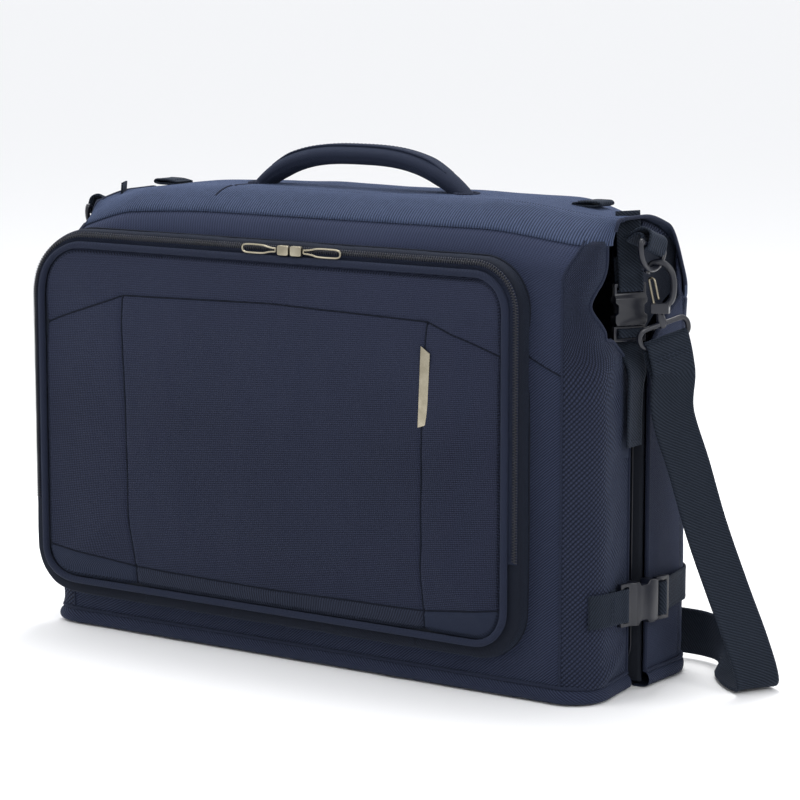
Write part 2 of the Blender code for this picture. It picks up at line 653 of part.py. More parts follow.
def ring_hairpin(side):
    """The strap's end, folded round the ring's lower bar, from its short end to its long one."""
    frame = hook_frame(STRAP_TURN)
    roll = strap_roll(side)
    reach = 0.0023 + GAP + STRAP_THICKNESS / 2 + 0.0004
    bar = -0.0085 - 0.0150
    fold = [(0.0, -0.030), (reach, -0.012)]
    fold += [(reach * cos(a), reach * sin(a)) for a in [radians(180 * k / 6) for k in range(7)]]
    fold = [(y, z + bar) for y, z in fold] + [(-reach, bar - 0.012), (-0.0026, bar - 0.026)]
    return [frame_point(frame, roll @ Vector((0, y, z)), side) for y, z in fold]


def right_drop():
    """From the right ring down to the floor, turning onto its edge towards the back."""
    across = strap_across()
    up = Vector((0, 0, 1))
    hang = [(0.300, -0.052, 0.235), (0.310, -0.045, 0.190), (0.322, -0.038, 0.140), (0.336, -0.027, 0.090),
            (0.350, -0.016, 0.045), (0.3575, -0.009, 0.018), (0.3560, -0.003, 0.0050)]
    turn = [(0.345, 0.006, 0.0030), (0.330, 0.020, 0.0085), (0.312, 0.038, 0.0180), (0.293, 0.055, 0.0235),
            (0.272, 0.0655, STRAP_BACK_Z), (STRAP_BACK_END, STRAP_BACK_Y, STRAP_BACK_Z)]
    widths = [across] * len(hang) + [across + up * 0.02, across + up * 0.4, across * 0.7 + up, up, up, up]
    return [Vector(p) for p in hang + turn], [w.normalized() for w in widths]


def left_drop():
    """From behind the bag up the left side to the left ring."""
    climb = [(-STRAP_BACK_END, STRAP_BACK_Y, STRAP_BACK_Z), (-0.2720, 0.0675, 0.0250),
             (-0.2900, 0.0580, 0.0420), (-0.3000, 0.0300, 0.1050),
             (-0.3000, -0.0120, 0.1900), (-0.2960, -0.0450, 0.2560)]
    across = strap_across()
    across = Vector((-across.x, across.y, 0))
    widths = [Vector((0, 0, 1)), Vector((0, 0, 1)), Vector((0.1, 0.5, 1)), Vector((0, 0.9, 0.45)),
              Vector((-0.15, 1, 0.4)), Vector((-0.5, 1, 0.2))]
    return [Vector(p) for p in climb], [w.normalized() for w in widths], across


def smooth_band(points, widths, per_span):
    path = smooth_path(points, per_span)
    across = [w.normalized() for w in smooth_path(widths, per_span)]
    return path, across


def build_shoulder_strap(web, plastic):
    up = Vector((0, 0, 1))
    rolled = hook_frame(STRAP_TURN).to_3x3() @ (strap_roll(1).to_3x3() @ Vector((1, 0, 0)))
    points, widths = right_drop()
    hairpin = ring_hairpin(1)
    path, across = smooth_band([hairpin[-1]] + points, [rolled] + widths, 5)
    origin = Vector((0, D_RING_BAR.y, CASE_HEIGHT))
    mesh = band(hairpin[:-1] + path, [rolled] * (len(hairpin) - 1) + across, STRAP_WIDTH, STRAP_THICKNESS)
    add_piece("shoulder_strap_right", mesh, web, origin)
    left_points, left_widths, left_across = left_drop()
    reach = STRAP_BACK_END - 0.0015
    back = [Vector((x, STRAP_BACK_Y, STRAP_BACK_Z)) for x in (reach, -reach)]
    add_piece("shoulder_strap_back", band(back, up, STRAP_WIDTH, STRAP_THICKNESS), web, origin)
    hairpin = ring_hairpin(-1)[::-1]
    path, across = smooth_band(left_points + [hairpin[0]], left_widths + [left_across], 4)
    mesh = band(path + hairpin[1:], across + [left_across] * (len(hairpin) - 1), STRAP_WIDTH, STRAP_THICKNESS)
    add_piece("shoulder_strap_left", mesh, web, origin)
    build_adjuster(plastic, origin)


def build_adjuster(plastic, origin):
    """The length adjuster, a flat frame that the strap behind the bag runs through."""
    low = STRAP_BACK_Z - STRAP_WIDTH / 2
    high = STRAP_BACK_Z + STRAP_WIDTH / 2
    outline = rounded_box(STRAP_BACK_Y - 0.0040, STRAP_BACK_Y + 0.0040, low - 0.0040, high + 0.0040, 0.0015, 2)
    adjuster = add_piece("strap_adjuster", prism(outline, 0.085, 0.113, "X"), plastic, origin)
    slot = rounded_box(STRAP_BACK_Y - 0.0016, STRAP_BACK_Y + 0.0016, low - 0.0008, high + 0.0008, 0, 2)
    combine(adjuster, prism(slot, 0.08, 0.12, "X"))


# ------------------------------------------------------------ inside parts

def build_hanger_fittings(plastic, metal, web):
    """The clamp that grips coat-hanger hooks, and the swing-out hook that hangs the open bag."""
    board = REAR_OUT - WALL - GAP - 0.002 - GAP
    clamp = add_piece("hanger_clamp", block((-0.030, board - 0.018, 0.014), (0.030, board, 0.038)), plastic)
    combine(clamp, block((-0.024, board - 0.014, 0.022), (0.024, board - 0.005, 0.050)))
    pivot = Vector((0, board - 0.0095, 0.0420))
    stem = [Vector((0, pivot.y, z)) for z in (0.0400, 0.0600, 0.0800)]
    bow = [Vector((0.018 * (1 - cos(a)), pivot.y, 0.0900 + 0.018 * sin(a)))
           for a in [radians(t) for t in range(0, 211, 30)]]
    add_piece("hanging_hook", flat_tube(stem + bow, 0.0022, (0, 1, 0), 8), metal, pivot, smooth=True)
    y = REAR_IN + 0.0065
    add_piece("garment_strap", block((-0.262, y, 0.150), (0.262, y + WEB_THICKNESS, 0.175)), web)
    add_piece("garment_strap_buckle", block((-0.022, y - 0.0026, 0.147), (0.022, y - GAP, 0.178)), plastic)


def build():
    cloth = make_material("cloth", (0.035, 0.048, 0.085), 0.85)
    smooth_cloth = make_material("smooth_cloth", (0.030, 0.040, 0.072), 0.7)
    web = make_material("webbing", (0.022, 0.032, 0.045), 0.8)
    plastic = make_material("plastic", (0.030, 0.034, 0.060), 0.4)
    zip_material = make_material("zip", (0.015, 0.018, 0.030), 0.5)
    gold = make_material("pale_gold", (0.62, 0.54, 0.38), 0.3, 1.0)
    build_front_case(cloth, plastic)
    build_rear_case(cloth, plastic)
    build_spine(cloth)
    build_handle(smooth_cloth, smooth_cloth)
    build_pocket(smooth_cloth, zip_material, gold)
    build_hanger_fittings(plastic, gold, web)
    for side in (1, -1):
        build_gusset_patch(side, cloth)
        build_top_loop(side, web)
        build_slider(side, gold)
        build_lower_strap(side, web, plastic)
        build_upper_strap(side, web, plastic)
        build_d_ring(side, plastic, web)
        build_hook(side, plastic, gold)
        build_strap_ring(side, plastic)
    build_shoulder_strap(web, plastic)


for old in list(bpy.data.objects):
    bpy.data.objects.remove(old, do_unlink=True)
build()
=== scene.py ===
"""The looks of a folded bi-fold garment bag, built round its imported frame.

Metres, in the frame's axes: +X to the bag's right, -Y out of the front pocket, +Z up. Soft
pieces are parametric sheets, sagged and creased in code, and webbing is swept along the
CAD's routes. Texture coordinates are metres along the cloth, so that weaves keep one scale.
"""

import json
from math import cos, exp, pi, radians, sin, sqrt, tan

import bmesh
import bpy
from mathutils import Matrix, Vector, noise


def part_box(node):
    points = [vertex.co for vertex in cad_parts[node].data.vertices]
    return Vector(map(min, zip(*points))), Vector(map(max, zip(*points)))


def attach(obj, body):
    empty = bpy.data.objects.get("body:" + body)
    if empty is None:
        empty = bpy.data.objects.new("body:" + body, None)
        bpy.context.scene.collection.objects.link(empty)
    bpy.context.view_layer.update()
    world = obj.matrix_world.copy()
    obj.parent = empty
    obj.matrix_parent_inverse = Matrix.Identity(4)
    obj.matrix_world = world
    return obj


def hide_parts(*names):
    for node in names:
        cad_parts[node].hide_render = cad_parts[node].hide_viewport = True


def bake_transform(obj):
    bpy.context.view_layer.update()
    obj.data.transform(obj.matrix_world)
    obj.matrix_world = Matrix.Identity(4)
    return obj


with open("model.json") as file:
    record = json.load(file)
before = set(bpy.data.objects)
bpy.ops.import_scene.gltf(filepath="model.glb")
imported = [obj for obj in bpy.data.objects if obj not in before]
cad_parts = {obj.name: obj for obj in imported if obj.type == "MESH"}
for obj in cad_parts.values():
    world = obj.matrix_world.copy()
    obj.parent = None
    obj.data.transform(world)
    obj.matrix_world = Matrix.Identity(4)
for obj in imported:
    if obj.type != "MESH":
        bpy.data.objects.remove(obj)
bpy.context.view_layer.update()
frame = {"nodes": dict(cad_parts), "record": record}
nodes = frame["nodes"]

# Camera
AZIMUTH = radians(34.73)
ELEVATION = radians(8.74)
DISTANCE = 2.5
LENS = 129.2
AIM_ACROSS = 0.0293
AIM_Y = -0.055
AIM_HEIGHT = 0.2197
SENSOR = 36

# Cases, as the frame has them
HALF_WIDTH = 0.275
FRONT_Y, FRONT_BACK_Y = -0.133, -0.057
REAR_FRONT_Y, REAR_Y = -0.043, 0.043
FRONT_TAPER = 0.010
FRONT_CORNER = 0.028
REAR_CORNER = 0.035
SEAM_HEIGHT = 0.387
SPINE_TOP = 0.402
SPINE_HALF_WIDTH = 0.272
SPINE_REAR_ROLL = 0.052
REAR_SEAM_HEIGHT = 0.338
RIB_PITCH = 0.0026
BASE_SEAM = 0.014

# The looser shape that the cloth takes over them
SHOULDER = 0.048
HEM_LOW, HEM_HIGH = 0.3790, 0.3840
HEM_TUCK = 0.0022
RIBS_LOW, RIBS_HIGH = 0.352, 0.378

# Pocket
POCKET = (-0.275, 0.216, 0.033, 0.362)
POCKET_RADIUS = 0.042
LID_FRONT = -0.1530
FACE_RECESS = 0.0046
LID_EDGE = 0.0150
BACKING_Y = -0.1460
ZIP_END_HEIGHT = 0.115

# Webbing
WEB = 0.028
WEB_THICKNESS = 0.0016
STRAP_WIDTH = 0.040
STRAP_THICKNESS = 0.002

# Handle
HANDLE_X, HANDLE_Y = -0.012, -0.045
HANDLE_REACH = 0.111
GRIP_DEPTH, GRIP_HEIGHT = 0.0120, 0.0084

# Stage
FLOOR_REACH = 60
FLOOR_SHADE = (0.93, 0.93, 0.935, 1)
SKY_SHADE = (0.97, 0.98, 1.0, 1)
LIGHTS = (("key", (-1.8, -2.4, 2.8), 1.6, 30), ("top", (-0.2, 0.5, 2.2), 1.0, 34),
          ("side", (2.6, -1.0, 1.8), 0.8, 22))

UP = Vector((0, 0, 1))
TINY_SQUARE = [(0, 0), (0.001, 0), (0.001, 0.001), (0, 0.001)]
SIDES = ((1, "right"), (-1, "left"))


# ------------------------------------------------------------------ materials

class Shader:
    """Builds one Principled material, a node at a time."""

    def __init__(self, name, roughness, metallic=0.0, **sockets):
        self.material = bpy.data.materials.new(name)
        self.material.use_nodes = True
        self.tree = self.material.node_tree
        self.principled = self.tree.nodes["Principled BSDF"]
        self.principled.inputs["Roughness"].default_value = roughness
        self.principled.inputs["Metallic"].default_value = metallic
        for socket, value in sockets.items():
            self.principled.inputs[socket.replace("_", " ")].default_value = value

    def node(self, kind, inputs=None, **settings):
        made = self.tree.nodes.new(f"ShaderNode{kind}")
        for key, value in settings.items():
            setattr(made, key, value)
        for key, value in (inputs or {}).items():
            if isinstance(value, bpy.types.NodeSocket):
                self.tree.links.new(value, made.inputs[key])
            else:
                made.inputs[key].default_value = value
        return made

    def math(self, operation, a, b):
        return self.node("Math", {0: a, 1: b}, operation=operation).outputs[0]

    def metres(self, turn=0.0):
        """Texture coordinates in metres along the cloth, turned by an angle."""
        uv = self.node("UVMap", uv_map="UVMap").outputs[0]
        return self.node("Mapping", {"Vector": uv, "Rotation": (0, 0, turn)}).outputs[0]

    def ribs(self, turn, pitch, wander=0.0):
        """A wave across the cloth, of one rib for each pitch."""
        return self.node("TexWave", {"Vector": self.metres(turn), "Scale": pi / 10 / pitch,
                                     "Distortion": wander, "Detail": 2.0}).outputs["Fac"]

    def noise(self, scale, detail=3.0):
        coordinates = self.node("TexCoord").outputs["Object"]
        inputs = {"Vector": coordinates, "Scale": scale, "Detail": detail}
        return self.node("TexNoise", inputs).outputs["Fac"]

    def colour(self, factor, dark, light, low=0.0, high=1.0):
        ramp = self.node("ValToRGB", {"Fac": factor})
        ramp.color_ramp.elements[0].position = low
        ramp.color_ramp.elements[0].color = (*dark, 1)
        ramp.color_ramp.elements[1].position = high
        ramp.color_ramp.elements[1].color = (*light, 1)
        self.tree.links.new(ramp.outputs["Color"], self.principled.inputs["Base Color"])

    def bump(self, height, distance, below=None):
        inputs = {"Height": height, "Distance": distance}
        if below:
            inputs["Normal"] = below
        made = self.node("Bump", inputs).outputs["Normal"]
        self.tree.links.new(made, self.principled.inputs["Normal"])
        return made

    def vary_roughness(self, factor, low, high):
        made = self.node("MapRange", {"Value": factor, "To Min": low, "To Max": high}).outputs["Result"]
        self.tree.links.new(made, self.principled.inputs["Roughness"])


def height_share(shader, low, high):
    """From 0 to 1 between two heights on the bag at rest."""
    coordinates = shader.node("TexCoord").outputs["Object"]
    height = shader.node("SeparateXYZ", {"Vector": coordinates}).outputs["Z"]
    return shader.node("MapRange", {"Value": height, "From Min": low, "From Max": high}).outputs["Result"]


def rib_upwards(shader, weave):
    """Change a twill into ribs that run up the cloth, above the front's shoulder."""
    ribs = shader.ribs(0.0, RIB_PITCH)
    return shader.node("Mix", {0: height_share(shader, RIBS_LOW, RIBS_HIGH), 2: weave,
                               3: shader.math("MULTIPLY", ribs, 1.2)}).outputs[0]


CONTRAST = 0.75
LINT = 0.22


def cloth(name, dark, light, turn, pitch, depth=0.0004, cross=0.55, sheen=0.08, ribbed=False, painted_top_light=0.0):
    """Ribbed or twilled cloth: ribs, the finer yarns that cross them, lint and soft fading.

    painted_top_light is painted light: how much lighter the cloth is made towards the bag's top, standing
    in for the light from above.
    """
    shader = Shader(name, 0.85, Sheen_Weight=sheen, Sheen_Roughness=0.4, Specular_IOR_Level=0.1,
                    Sheen_Tint=(0.50, 0.62, 0.95, 1))
    ribs = shader.ribs(turn, pitch, 0.6)
    yarns = shader.ribs(turn + pi / 2, pitch * cross, 1.5)
    weave = shader.math("MULTIPLY", shader.math("POWER", ribs, 0.7), shader.math("ADD", yarns, 0.5))
    if ribbed:
        weave = rib_upwards(shader, weave)
    fading = shader.math("MULTIPLY", shader.noise(9.0, 5.0), 1.0 - CONTRAST)
    lint = shader.math("MULTIPLY", shader.noise(1400.0, 2.0), LINT)
    total = shader.math("ADD", shader.math("MULTIPLY", weave, CONTRAST), shader.math("ADD", fading, lint))
    # Painted light: the colour lightens with height, from 0.20 m to 0.40 m, as if lit from above.
    if painted_top_light:
        lift = shader.math("MULTIPLY", height_share(shader, 0.20, 0.40), painted_top_light)
        total = shader.math("ADD", total, lift)
    shader.colour(total, dark, light, 0.15, 1.35)
    shader.bump(lint, 0.0002, shader.bump(weave, depth))
    shader.vary_roughness(fading, 0.74, 0.95)
    return shader.material


def moulded(name, dark, light, roughness):
    """Moulded plastic, with a fine grain."""
    shader = Shader(name, roughness, Specular_IOR_Level=0.5, Coat_Weight=0.08, Coat_Roughness=0.35)
    grain = shader.noise(900.0, 3.0)
    shader.colour(shader.noise(35.0, 4.0), dark, light, 0.3, 0.75)
    shader.bump(grain, 0.00006)
    shader.vary_roughness(shader.noise(60.0, 4.0), roughness - 0.08, roughness + 0.14)
    return shader.material


def plated(name, dark, light):
    """Plated metal, unevenly polished."""
    shader = Shader(name, 0.3, 1.0)
    shader.colour(shader.noise(70.0, 4.0), dark, light, 0.3, 0.7)
    shader.bump(shader.noise(1600.0, 2.0), 0.00003)
    shader.vary_roughness(shader.noise(120.0, 5.0), 0.24, 0.42)
    return shader.material


# Painted light: the twill is made lighter towards the top of the bag, standing in for the light from above.
TWILL = cloth("twill", (0.0045, 0.006, 0.0125), (0.030, 0.038, 0.074), radians(52), 0.0019, 0.0005,
              ribbed=True, painted_top_light=0.30)
# Painted light: the pocket's face is made lighter towards its top, standing in for the light from above on
# its pillow.
FACE = cloth("face_weave", (0.0035, 0.0045, 0.0095), (0.023, 0.028, 0.054), radians(84), 0.0016, 0.0004,
             cross=1.3, painted_top_light=0.42)
# Painted light and shade: the spine's ribbed cloth is made far lighter than base_ribs, the same ribs on the
# pocket, standing in for the light on the top, and its grooves are painted very dark as the shade between
# the ribs.
RIBBED_PAINTED_LIGHT_AND_SHADE = cloth("ribbed", (0.004, 0.006, 0.013), (0.070, 0.094, 0.170), 0.0, RIB_PITCH, 0.0003, 0.3)
RIBBED_DARK = cloth("base_ribs", (0.004, 0.005, 0.009), (0.026, 0.032, 0.055), 0.0, RIB_PITCH, 0.0004, 0.3)
SMOOTH = cloth("smooth_twill", (0.0065, 0.0085, 0.0165), (0.022, 0.029, 0.054), radians(45), 0.0011, 0.0002)
# Painted shade: the wall round the pocket lies in shadow, so it is given this very dark cloth.
POCKET_WALL_SHADE = cloth("pocket_side_painted_shade", (0.003, 0.004, 0.007), (0.011, 0.014, 0.024), radians(45), 0.0011, 0.0002)
GUSSET = cloth("gusset_weave", (0.002, 0.003, 0.0065), (0.023, 0.029, 0.055), radians(45), 0.0030,
               0.0006, cross=1.0)
WEBBING = cloth("webbing", (0.003, 0.0045, 0.0075), (0.017, 0.023, 0.035), radians(38), 0.0022, 0.0004, 0.5)
PIPING = cloth("piping", (0.006, 0.0075, 0.0155), (0.021, 0.027, 0.051), radians(30), 0.0012, 0.0002)
LINING = cloth("lining", (0.008, 0.009, 0.013), (0.024, 0.028, 0.038), 0.0, 0.0008, 0.0001)
# Painted shade: a darker copy of the lining, for the shadow inside the spine's ends.
SHADOWED_LINING = cloth("shadowed_lining", (0.003, 0.004, 0.007), (0.010, 0.012, 0.018), 0.0, 0.0010, 0.0002)
THREAD = cloth("thread", (0.010, 0.013, 0.021), (0.032, 0.041, 0.064), radians(30), 0.0006, 0.0001)
# Painted shade: dark cloth for the shadow in seams, drawn as thin dark tubes, and in the pits of the
# pocket's edge stitches.
SEAM_SHADOW = cloth("seam_shadow", (0.003, 0.004, 0.008), (0.009, 0.012, 0.022), radians(30), 0.0006, 0.0001,
             sheen=0.0)
PLASTIC = moulded("moulded_plastic", (0.003, 0.004, 0.009), (0.006, 0.0075, 0.015), 0.30)
ZIP = moulded("zip_coil", (0.006, 0.007, 0.012), (0.013, 0.015, 0.026), 0.30)
GOLD = plated("pale_gold", (0.24, 0.215, 0.155), (0.38, 0.345, 0.265))


# --------------------------------------------------------------- mesh helpers

def make_object(name, verts, faces, uvs, material):
    """A mesh object. uvs holds, for each face, the metres of each of its corners."""
    mesh = bpy.data.meshes.new(name)
    mesh.from_pydata([tuple(v) for v in verts], [], faces)
    layer = mesh.uv_layers.new(name="UVMap")
    flat = [c for face in uvs for corner in face for c in corner]
    layer.data.foreach_set("uv", flat)
    for entry in material if isinstance(material, (list, tuple)) else [material]:
        mesh.materials.append(entry)
    mesh.shade_smooth()
    piece = bpy.data.objects.new(name, mesh)
    bpy.context.scene.collection.objects.link(piece)
    return piece


def default_measure(grid):
    """Metres along the middle row and the middle column."""
    middle_row = len(grid[0]) // 2
    middle_column = len(grid) // 2
    u, measure = 0.0, []
    for i, column in enumerate(grid):
        if i:
            u += (column[middle_row] - grid[i - 1][middle_row]).length
        v, line = 0.0, []
        for j in range(len(column)):
            if j:
                v += (grid[middle_column][j] - grid[middle_column][j - 1]).length
            line.append((u, v))
        measure.append(line)
    return measure


def sheet(name, point, across, along, material, wrap=False, thickness=0.0, measure=None):
    """A grid of across x along faces. point(u, v) gives its places, with u and v from 0 to 1."""
    grid = [[point(i / across, j / along) for j in range(along + 1)] for i in range(across + 1)]
    measure = measure or default_measure(grid)
    columns = across if wrap else across + 1
    verts = [p for column in grid[:columns] for p in column]
    faces, uvs = [], []
    for i in range(across):
        for j in range(along):
            corners = ((i, j), (i + 1, j), (i + 1, j + 1), (i, j + 1))
            faces.append([(a % columns) * (along + 1) + b for a, b in corners])
            uvs.append([measure[a][b] for a, b in corners])
    piece = make_object(name, verts, faces, uvs, material)
    if thickness:
        solid = piece.modifiers.new("thickness", "SOLIDIFY")
        solid.thickness = thickness
        solid.offset = -1
    return piece


def frames_along(points, closed=False):
    """The side and the lift at each point, turning as little as they can."""
    count = len(points)
    result, side = [], None
    for i in range(count):
        after = points[(i + 1) % count] if closed or i < count - 1 else points[i]
        before = points[i - 1] if closed or i else points[i]
        ahead = (after - before).normalized()
        if side is None:
            helper = UP if abs(ahead.z) < 0.9 else Vector((0, 1, 0))
            side = ahead.cross(helper)
        side = (side - ahead * side.dot(ahead)).normalized()
        result.append((side, ahead.cross(side)))
    return result


def skin(count, size, metres=None, closed=False, start=0, turned=False, inward=False):
    """Faces and UVs over count rings of size corners, and a cap at each open end.

    metres(ring, corner) gives a corner's place on the cloth. turned and inward flip the
    sides and the caps.
    """
    faces, uvs = [], []
    for i in range(count if closed else count - 1):
        for k in range(size):
            corners = [(i, k), (i + 1, k), (i + 1, k + 1), (i, k + 1)]
            if turned:
                corners = [corners[0]] + corners[:0:-1]
            faces.append([start + a % count * size + b % size for a, b in corners])
            uvs.append([metres(a, b) for a, b in corners] if metres else TINY_SQUARE)
    if not closed:
        caps = [[start + ring * size + k for k in range(size)] for ring in (0, count - 1)]
        caps[inward].reverse()
        faces += caps
        uvs += [[(0, 0)] * size] * 2
    return faces, uvs


def tube(name, points, radius, material, closed=False, sides=8):
    """A round cord along points. radius is a number, or a function of the share of the way."""
    count = len(points)
    thick = radius if callable(radius) else (lambda t: radius)
    verts = []
    frames = frames_along(points, closed)
    travelled, at = [0.0], 0.0
    for i in range(count):
        at += (points[(i + 1) % count] - points[i]).length
        travelled.append(at)
    for i, (point, (side, lift)) in enumerate(zip(points, frames)):
        r = thick(i / max(1, count - 1))
        verts += [point + (side * cos(2 * pi * k / sides) + lift * sin(2 * pi * k / sides)) * r
                  for k in range(sides)]
    girth = 2 * pi * thick(0.5) / sides
    faces, uvs = skin(count, sides, lambda i, k: (travelled[i], k * girth), closed)
    return make_object(name, verts, faces, uvs, material)


def strap(name, points, widths, width, thickness, material=None, crown=0.0002):
    """Webbing along points, its width along widths, with soft edges and raised selvedges."""
    half, edge = width / 2, thickness / 2
    top = [(-half + 0.0004, edge), (-half + 0.0022, edge + crown), (-half + 0.0036, edge)]
    top += [(-half / 3, edge), (half / 3, edge)]
    top += [(half - 0.0036, edge), (half - 0.0022, edge + crown), (half - 0.0004, edge)]
    section = [(-half, 0)] + top + [(half, 0)] + [(a, -b) for a, b in top[::-1]]
    verts, along, lines = [], 0.0, []
    for i, (point, wide) in enumerate(zip(points, widths)):
        before = points[max(0, i - 1)]
        ahead = (points[min(len(points) - 1, i + 1)] - before).normalized()
        wide = (wide - ahead * wide.dot(ahead)).normalized()
        normal = ahead.cross(wide)
        along += (point - before).length if i else 0.0
        lines.append(along)
        verts += [point + wide * a + normal * b for a, b in section]
    size = len(section)
    faces, uvs = skin(len(points), size, lambda i, k: (lines[i], section[k % size][0]), turned=True)
    return make_object(name, verts, faces, uvs, material or WEBBING)


def spindle(verts, faces, uvs, a, b, radius):
    """One stitch of thread, from a to b."""
    ahead = (b - a).normalized()
    helper = UP if abs(ahead.z) < 0.8 else Vector((0, 1, 0))
    side = ahead.cross(helper).normalized()
    lift = ahead.cross(side)
    start = len(verts)
    for share, r in ((0.0, 0.35), (0.25, 1.0), (0.75, 1.0), (1.0, 0.35)):
        centre = a.lerp(b, share)
        verts += [centre + (side * cos(k * pi / 2.5) + lift * sin(k * pi / 2.5)) * radius * r
                  for k in range(5)]
    more_faces, more_uvs = skin(4, 5, start=start, inward=True)
    faces += more_faces
    uvs += more_uvs


def stitches(name, lines, body, length=0.0032, gap=0.0016, radius=0.00034):
    """Rows of thread: one small spindle for each stitch along each line."""
    verts, faces, uvs = [], [], []
    for line in lines:
        path = even_path(line, length + gap)
        for a, b in zip(path, path[1:]):
            spindle(verts, faces, uvs, a, a + (b - a).normalized() * length, radius)
    return place(make_object(name, verts, faces, uvs, THREAD), body)


def dimples(name, pairs, body):
    """Short stitches across an edge, drawn tight, in seam-shadow cloth: painted shade in the pits they
    pull.
    """
    verts, faces, uvs = [], [], []
    for a, b in pairs:
        spindle(verts, faces, uvs, a, b, 0.0005)
    return place(make_object(name, verts, faces, uvs, SEAM_SHADOW), body)


def refined(node, material, bevel=0.0005, segments=2, subdivide=0):
    """A clean, soft-edged copy of a CAD node, with metres on its faces by their direction."""
    mesh = bmesh.new()
    mesh.from_mesh(nodes[node].data)
    bmesh.ops.remove_doubles(mesh, verts=mesh.verts, dist=0.00002)
    bmesh.ops.dissolve_limit(mesh, angle_limit=radians(1.5), verts=mesh.verts, edges=mesh.edges)
    data = bpy.data.meshes.new(node + "_made")
    if bevel:
        sharp = [e for e in mesh.edges if len(e.link_faces) == 2 and e.calc_face_angle(0) > radians(32)]
        bmesh.ops.bevel(mesh, geom=sharp, offset=bevel, segments=segments, profile=0.5, affect="EDGES",
                        clamp_overlap=True)
    layer = mesh.loops.layers.uv.new("UVMap")
    for face in mesh.faces:
        direction = [abs(c) for c in face.normal]
        axis = direction.index(max(direction))
        first, second = ((1, 2), (0, 2), (0, 1))[axis]
        for loop in face.loops:
            loop[layer].uv = (loop.vert.co[first], loop.vert.co[second])
    mesh.to_mesh(data)
    mesh.free()
    data.materials.clear()
    data.materials.append(material)
    data.shade_smooth()
    data.set_sharp_from_angle(angle=radians(50))
    piece = bpy.data.objects.new(node + "_made", data)
    bpy.context.scene.collection.objects.link(piece)
    if subdivide:
        modifier = piece.modifiers.new("smooth", "SUBSURF")
        modifier.levels = modifier.render_levels = subdivide
    return piece


def body_of_node(node):
    bodies = frame["record"]["behaviour"]["bodies"]
    return next(body for body, members in bodies.items() if node in members)


def flared(point):
    """The front's left edge, full and low, stands out past the gusset behind it."""
    if point.x > -0.185:
        return point
    share = smoothstep(0.185, 0.262, -point.x) * (1 - smoothstep(-0.128, -0.098, point.y))
    return point - Vector((0.027 * share * smoothstep(0.395, 0.300, point.z), 0, 0))


def place(piece, body, replaced=()):
    """Hand a finished piece to the frame: one body rides it; a piece given a pair of bodies is only baked
    where it stands.
    """
    if body in ("front_half", "pocket_lid") or body[0] == "front_half":
        for vertex in piece.data.vertices:
            vertex.co = flared(vertex.co)
    if replaced:
        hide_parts(*replaced)
    if isinstance(body, str):
        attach(piece, body)
    else:
        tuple(body[2])
        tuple(body[3])
        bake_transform(piece)
    return piece


def refine(node, material, **shape):
    """Put a soft-edged copy of a CAD node in its place."""
    piece = refined(node, material, **shape)
    return place(piece, body_of_node(node), [node])


# ------------------------------------------------------------ paths and folds

def mirror(points, side):
    """Points on the right, or their mirror image on the left."""
    return [Vector((p[0] * side, p[1], p[2])) for p in points]


def smooth_path(controls, per_span):
    """Catmull-Rom points through control points."""
    padded = [controls[0] * 2 - controls[1]] + controls + [controls[-1] * 2 - controls[-2]]
    path = []
    for i in range(len(controls) - 1):
        a, b, c, d = padded[i:i + 4]
        for k in range(per_span):
            t = k / per_span
            path.append(0.5 * (b * 2 + (c - a) * t + (a * 2 - b * 5 + c * 4 - d) * t * t
                               + (b * 3 - a - c * 3 + d) * t ** 3))
    return path + [controls[-1]]


def even_path(points, step, closed=False):
    """The same polyline with a point at every step."""
    loop = points + [points[0]] if closed else points
    lengths = [(b - a).length for a, b in zip(loop, loop[1:])]
    total = sum(lengths)
    count = max(2, round(total / step))
    path, leg, used = [], 0, 0.0
    for k in range(count if closed else count + 1):
        target = total * k / count
        while leg < len(lengths) - 1 and used + lengths[leg] < target:
            used += lengths[leg]
            leg += 1
        share = (target - used) / max(1e-9, lengths[leg])
        path.append(loop[leg].lerp(loop[leg + 1], min(1.0, share)))
    return path


def fillet(corners, radii, steps=8):
    """Round the corners of an open path of 2-D points, whose two ends stay."""
    path = [Vector(corners[0])]
    for before, corner, after, radius in zip(corners, corners[1:], corners[2:], radii):
        corner = Vector(corner)
        back = (Vector(before) - corner).normalized()
        ahead = (Vector(after) - corner).normalized()
        half = back.angle(ahead) / 2
        centre = corner + (back + ahead).normalized() * radius / sin(half)
        start = corner + back * radius / tan(half) - centre
        end = corner + ahead * radius / tan(half) - centre
        path += [centre + start.slerp(end, k / steps).normalized() * radius for k in range(steps + 1)]
    return path + [Vector(corners[-1])]


def smoothstep(low, high, value):
    """From 0 to 1 between low and high, easing in and out."""
    t = min(1.0, max(0.0, (value - low) / (high - low)))
    return t * t * (3 - 2 * t)


def crease(x, y, z, scale, size):
    """Soft, uneven hills in cloth."""
    broad = noise.noise(Vector((x, y, z)) * scale)
    return size * (broad + 0.45 * noise.noise(Vector((z, x, y)) * scale * 2.3))


class Wall:
    """A case's upright wall, as a path in plan that is asked for places by distance."""

    def __init__(self, corners, radii):
        path = [Vector((p[0], p[1], 0)) for p in fillet(corners, radii)]
        self.points = even_path(path, 0.0015)
        self.step = (self.points[1] - self.points[0]).length
        self.length = self.step * (len(self.points) - 1)

    def at(self, distance):
        """The place at a distance, and the direction out of the case there."""
        position = min(max(distance / self.step, 0), len(self.points) - 1.001)
        i = int(position)
        a, b = self.points[i], self.points[i + 1]
        ahead = (b - a).normalized()
        return a.lerp(b, position - i), Vector((ahead.y, -ahead.x, 0))

    def distance_to_y(self, y):
        """How far along the right-hand side the wall reaches a depth y."""
        first = self.points[0].y - y
        return next(i for i, p in enumerate(self.points) if (p.y - y) * first <= 0) * self.step


